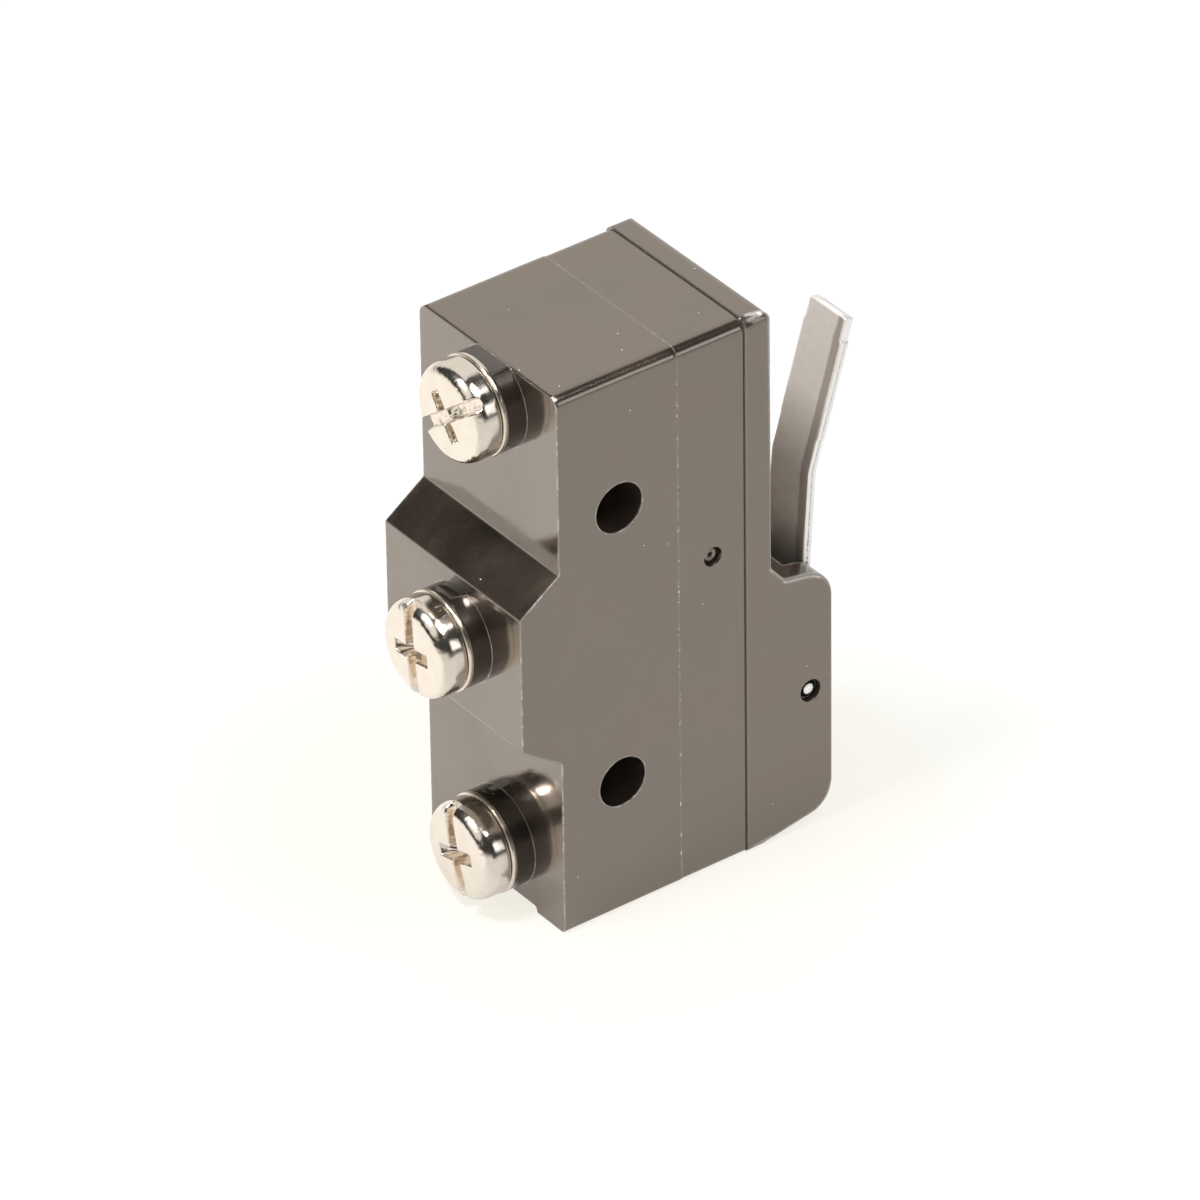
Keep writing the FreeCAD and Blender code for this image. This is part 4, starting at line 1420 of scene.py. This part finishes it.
@dataclass
class Studio:
    """The plain pale floor, the soft light and the camera at the photograph's angle."""

    azimuth: float = -36.374
    elevation: float = 34.379
    roll: float = -0.827
    distance: float = 867.1
    slide: Tuple[float, float] = (-0.41, 1.762)
    target: Triple = (4.0, 0.0, 12.7)
    lens: float = 337.6
    sensor: float = 36.0
    view_range: Tuple[float, float] = (0.05, 20.0)
    floor_z: float = -11.95
    floor_half: float = 4.0
    floor_rows: int = 41
    floor_dip: float = 0.05
    floor_flat: float = 0.7
    ambient: float = 0.46
    floor_share: float = 0.82
    front_glow: float = 0.62
    backdrop_glow: float = 0.80
    backdrop_dark: float = 0.035
    ceiling_glow: float = 0.80
    backdrop: Triple = (0.59, 0.81, 0.0)
    ceiling: Triple = (-0.55, -0.15, 0.82)
    white: Colour = (1.0, 1.0, 1.0)
    warm: Colour = (1.0, 0.965, 0.915)
    # Cream that cameras see on the floor near the switch: painted warm shade.
    warm_shade_near: Colour = (1.0, 0.972, 0.885)
    glow_far: Colour = (1.0, 1.0, 0.995)
    lamp_distance: float = 0.62
    lamps: Sequence[Lamp] = (Lamp("overhead_softbox", (0.20, -0.42, 0.885), 0.26, 1.3),
                             Lamp("left_softbox", (-0.38, 0.05, 0.925), 0.14, 3.6),
                             Lamp("edge_strip", (0.49, -0.82, 0.30), 0.20, 0.17))

    def build(self) -> None:
        """Build the floor, the world, the lamps and the camera."""
        self.floor()
        self.world()
        for lamp in self.lamps:
            self.hang(lamp)
        self.camera()
        bpy.context.scene.view_settings.view_transform = "Standard"

    def floor(self) -> None:
        """A wide floor that dips at its rim: height falls with the fourth power of distance."""
        span = np.linspace(-self.floor_half, self.floor_half, self.floor_rows)
        x, y = np.meshgrid(span, span)
        far = np.hypot(x, y) / self.floor_half
        dip = self.floor_dip * np.clip(far - self.floor_flat, 0, None) ** 4
        z = (self.floor_z - 0.02) * MM - dip
        quads = grid_quads(self.floor_rows, self.floor_rows, closed=False)
        floor = mesh_object("studio_floor", np.stack([x, y, z], axis=-1), quads.tolist(),
                            closed=False)
        floor.data.materials.append(self.floor_material())

    def floor_material(self) -> Material:
        """A pale floor that cameras and reflections see as white, with the shadow kept and a
        painted warm shade near the switch.

        Returns:
            The material.
        """
        material = bpy.data.materials.new("studio_floor_paper")
        graph = empty_graph(material)
        place = graph.value("ShaderNodeTexCoord", "Object")
        x, y, _ = graph.axes(place)
        camera, glossy, through = graph.rays("Camera", "Glossy", "Transmission")
        paper = graph.mix(graph.noise(place, 900.0), (0.92, 0.915, 0.90), (0.96, 0.955, 0.94))
        matt = graph.value("ShaderNodeBsdfDiffuse", 0, {"Color": paper})
        # Painted warm shade: the camera's floor colour turns cream near the switch.
        near = graph.vector("LENGTH", place).span(0.060, 0.018)
        lit = (y - x).span(-0.01, 0.03, self.front_glow, 1.0)
        glow = graph.value("ShaderNodeEmission", 0, {
            "Color": graph.mix(camera, self.warm, graph.mix(near, self.glow_far, self.warm_shade_near)),
            "Strength": graph.blend(camera, lit, 1.0)})
        share = camera.at_least(glossy).at_least(through) * self.floor_share
        both = graph.value("ShaderNodeMixShader", 0, {0: share, 1: matt, 2: glow})
        graph.add("ShaderNodeOutputMaterial", {"Surface": both})
        return material

    def world(self) -> None:
        """White to the camera, an even ambient to matt surfaces, and a lit backdrop to gloss."""
        world = bpy.data.worlds.new("studio")
        bpy.context.scene.world = world
        graph = empty_graph(world)
        direction = graph.value("ShaderNodeTexCoord", "Generated")
        x, _, z = graph.axes(direction)
        camera, glossy = graph.rays("Camera", "Glossy")
        level = graph.vector("NORMALIZE", graph.vector("MULTIPLY", direction, (1, 1, 0)))
        lit = graph.vector("DOT_PRODUCT", level, self.backdrop).span(
            0.72, 0.86, self.backdrop_dark, self.backdrop_glow)
        low = z.span(0.04, 0.26, self.backdrop_glow, 0.0) * x.span(0.15, -0.15)
        above = graph.vector("DOT_PRODUCT", direction, self.ceiling).span(
            0.84, 0.95, 0.0, self.ceiling_glow)
        seen = graph.blend(glossy, self.ambient, lit.at_least(low).at_least(above))
        background = graph.value("ShaderNodeBackground", 0, {
            "Color": graph.mix(glossy, self.white, self.warm),
            "Strength": graph.blend(camera, seen, 1.0)})
        graph.add("ShaderNodeOutputWorld", {"Surface": background})

    def hang(self, lamp: Lamp) -> None:
        """Hang a lamp in its direction from the switch, turned to face it.

        Args:
            lamp: the lamp.
        """
        data = bpy.data.lights.new(lamp.name, "AREA")
        data.shape = "SQUARE"
        data.size = lamp.size
        data.energy = lamp.power
        item = link_object(lamp.name, data)
        towards = Vector(lamp.direction).normalized()
        item.location = Vector(self.target) * MM + towards * self.lamp_distance
        item.rotation_mode = "QUATERNION"
        item.rotation_quaternion = towards.to_track_quat("Z", "Y")

    def camera(self) -> None:
        """Set the camera where the photograph was taken from."""
        turn, rise, roll = (math.radians(a) for a in (self.azimuth, self.elevation, self.roll))
        back = Vector((math.sin(turn) * math.cos(rise), -math.cos(turn) * math.cos(rise),
                       math.sin(rise)))
        right = Vector((0, 0, 1)).cross(back).normalized()
        up = back.cross(right)
        level = right * math.cos(roll) + up * math.sin(roll)
        upright = up * math.cos(roll) - right * math.sin(roll)
        data = bpy.data.cameras.new("photograph_view")
        data.lens = self.lens
        data.sensor_width = self.sensor
        data.clip_start, data.clip_end = self.view_range
        camera = link_object("photograph_view", data)
        place = Vector(self.target) - level * self.slide[0] - upright * self.slide[1]
        matrix = Matrix((level, upright, back)).transposed().to_4x4()
        matrix.translation = (place + back * self.distance) * MM
        camera.matrix_world = matrix
        bpy.context.scene.camera = camera


def main() -> None:
    """Build every sub-assembly in order."""
    logging.basicConfig(level=logging.INFO, format="%(name)s %(message)s")
    Studio().build()
    Housing().build()
    plates = NICKEL.make(), WASHER_PLATE.make()
    for screw in (TerminalScrew(Station.COMMON, -7.85, -6.9, 75.1, 11),
                  TerminalScrew(Station.OPEN, -11.55, 13.65, 83.6, 22),
                  TerminalScrew(Station.CLOSED, -7.85, 33.7, 142.3, 33)):
        screw.build(*plates)
    Lever().build()
    Pins().build()
    Mechanism().build()


if __name__ == "__main__":
    main()
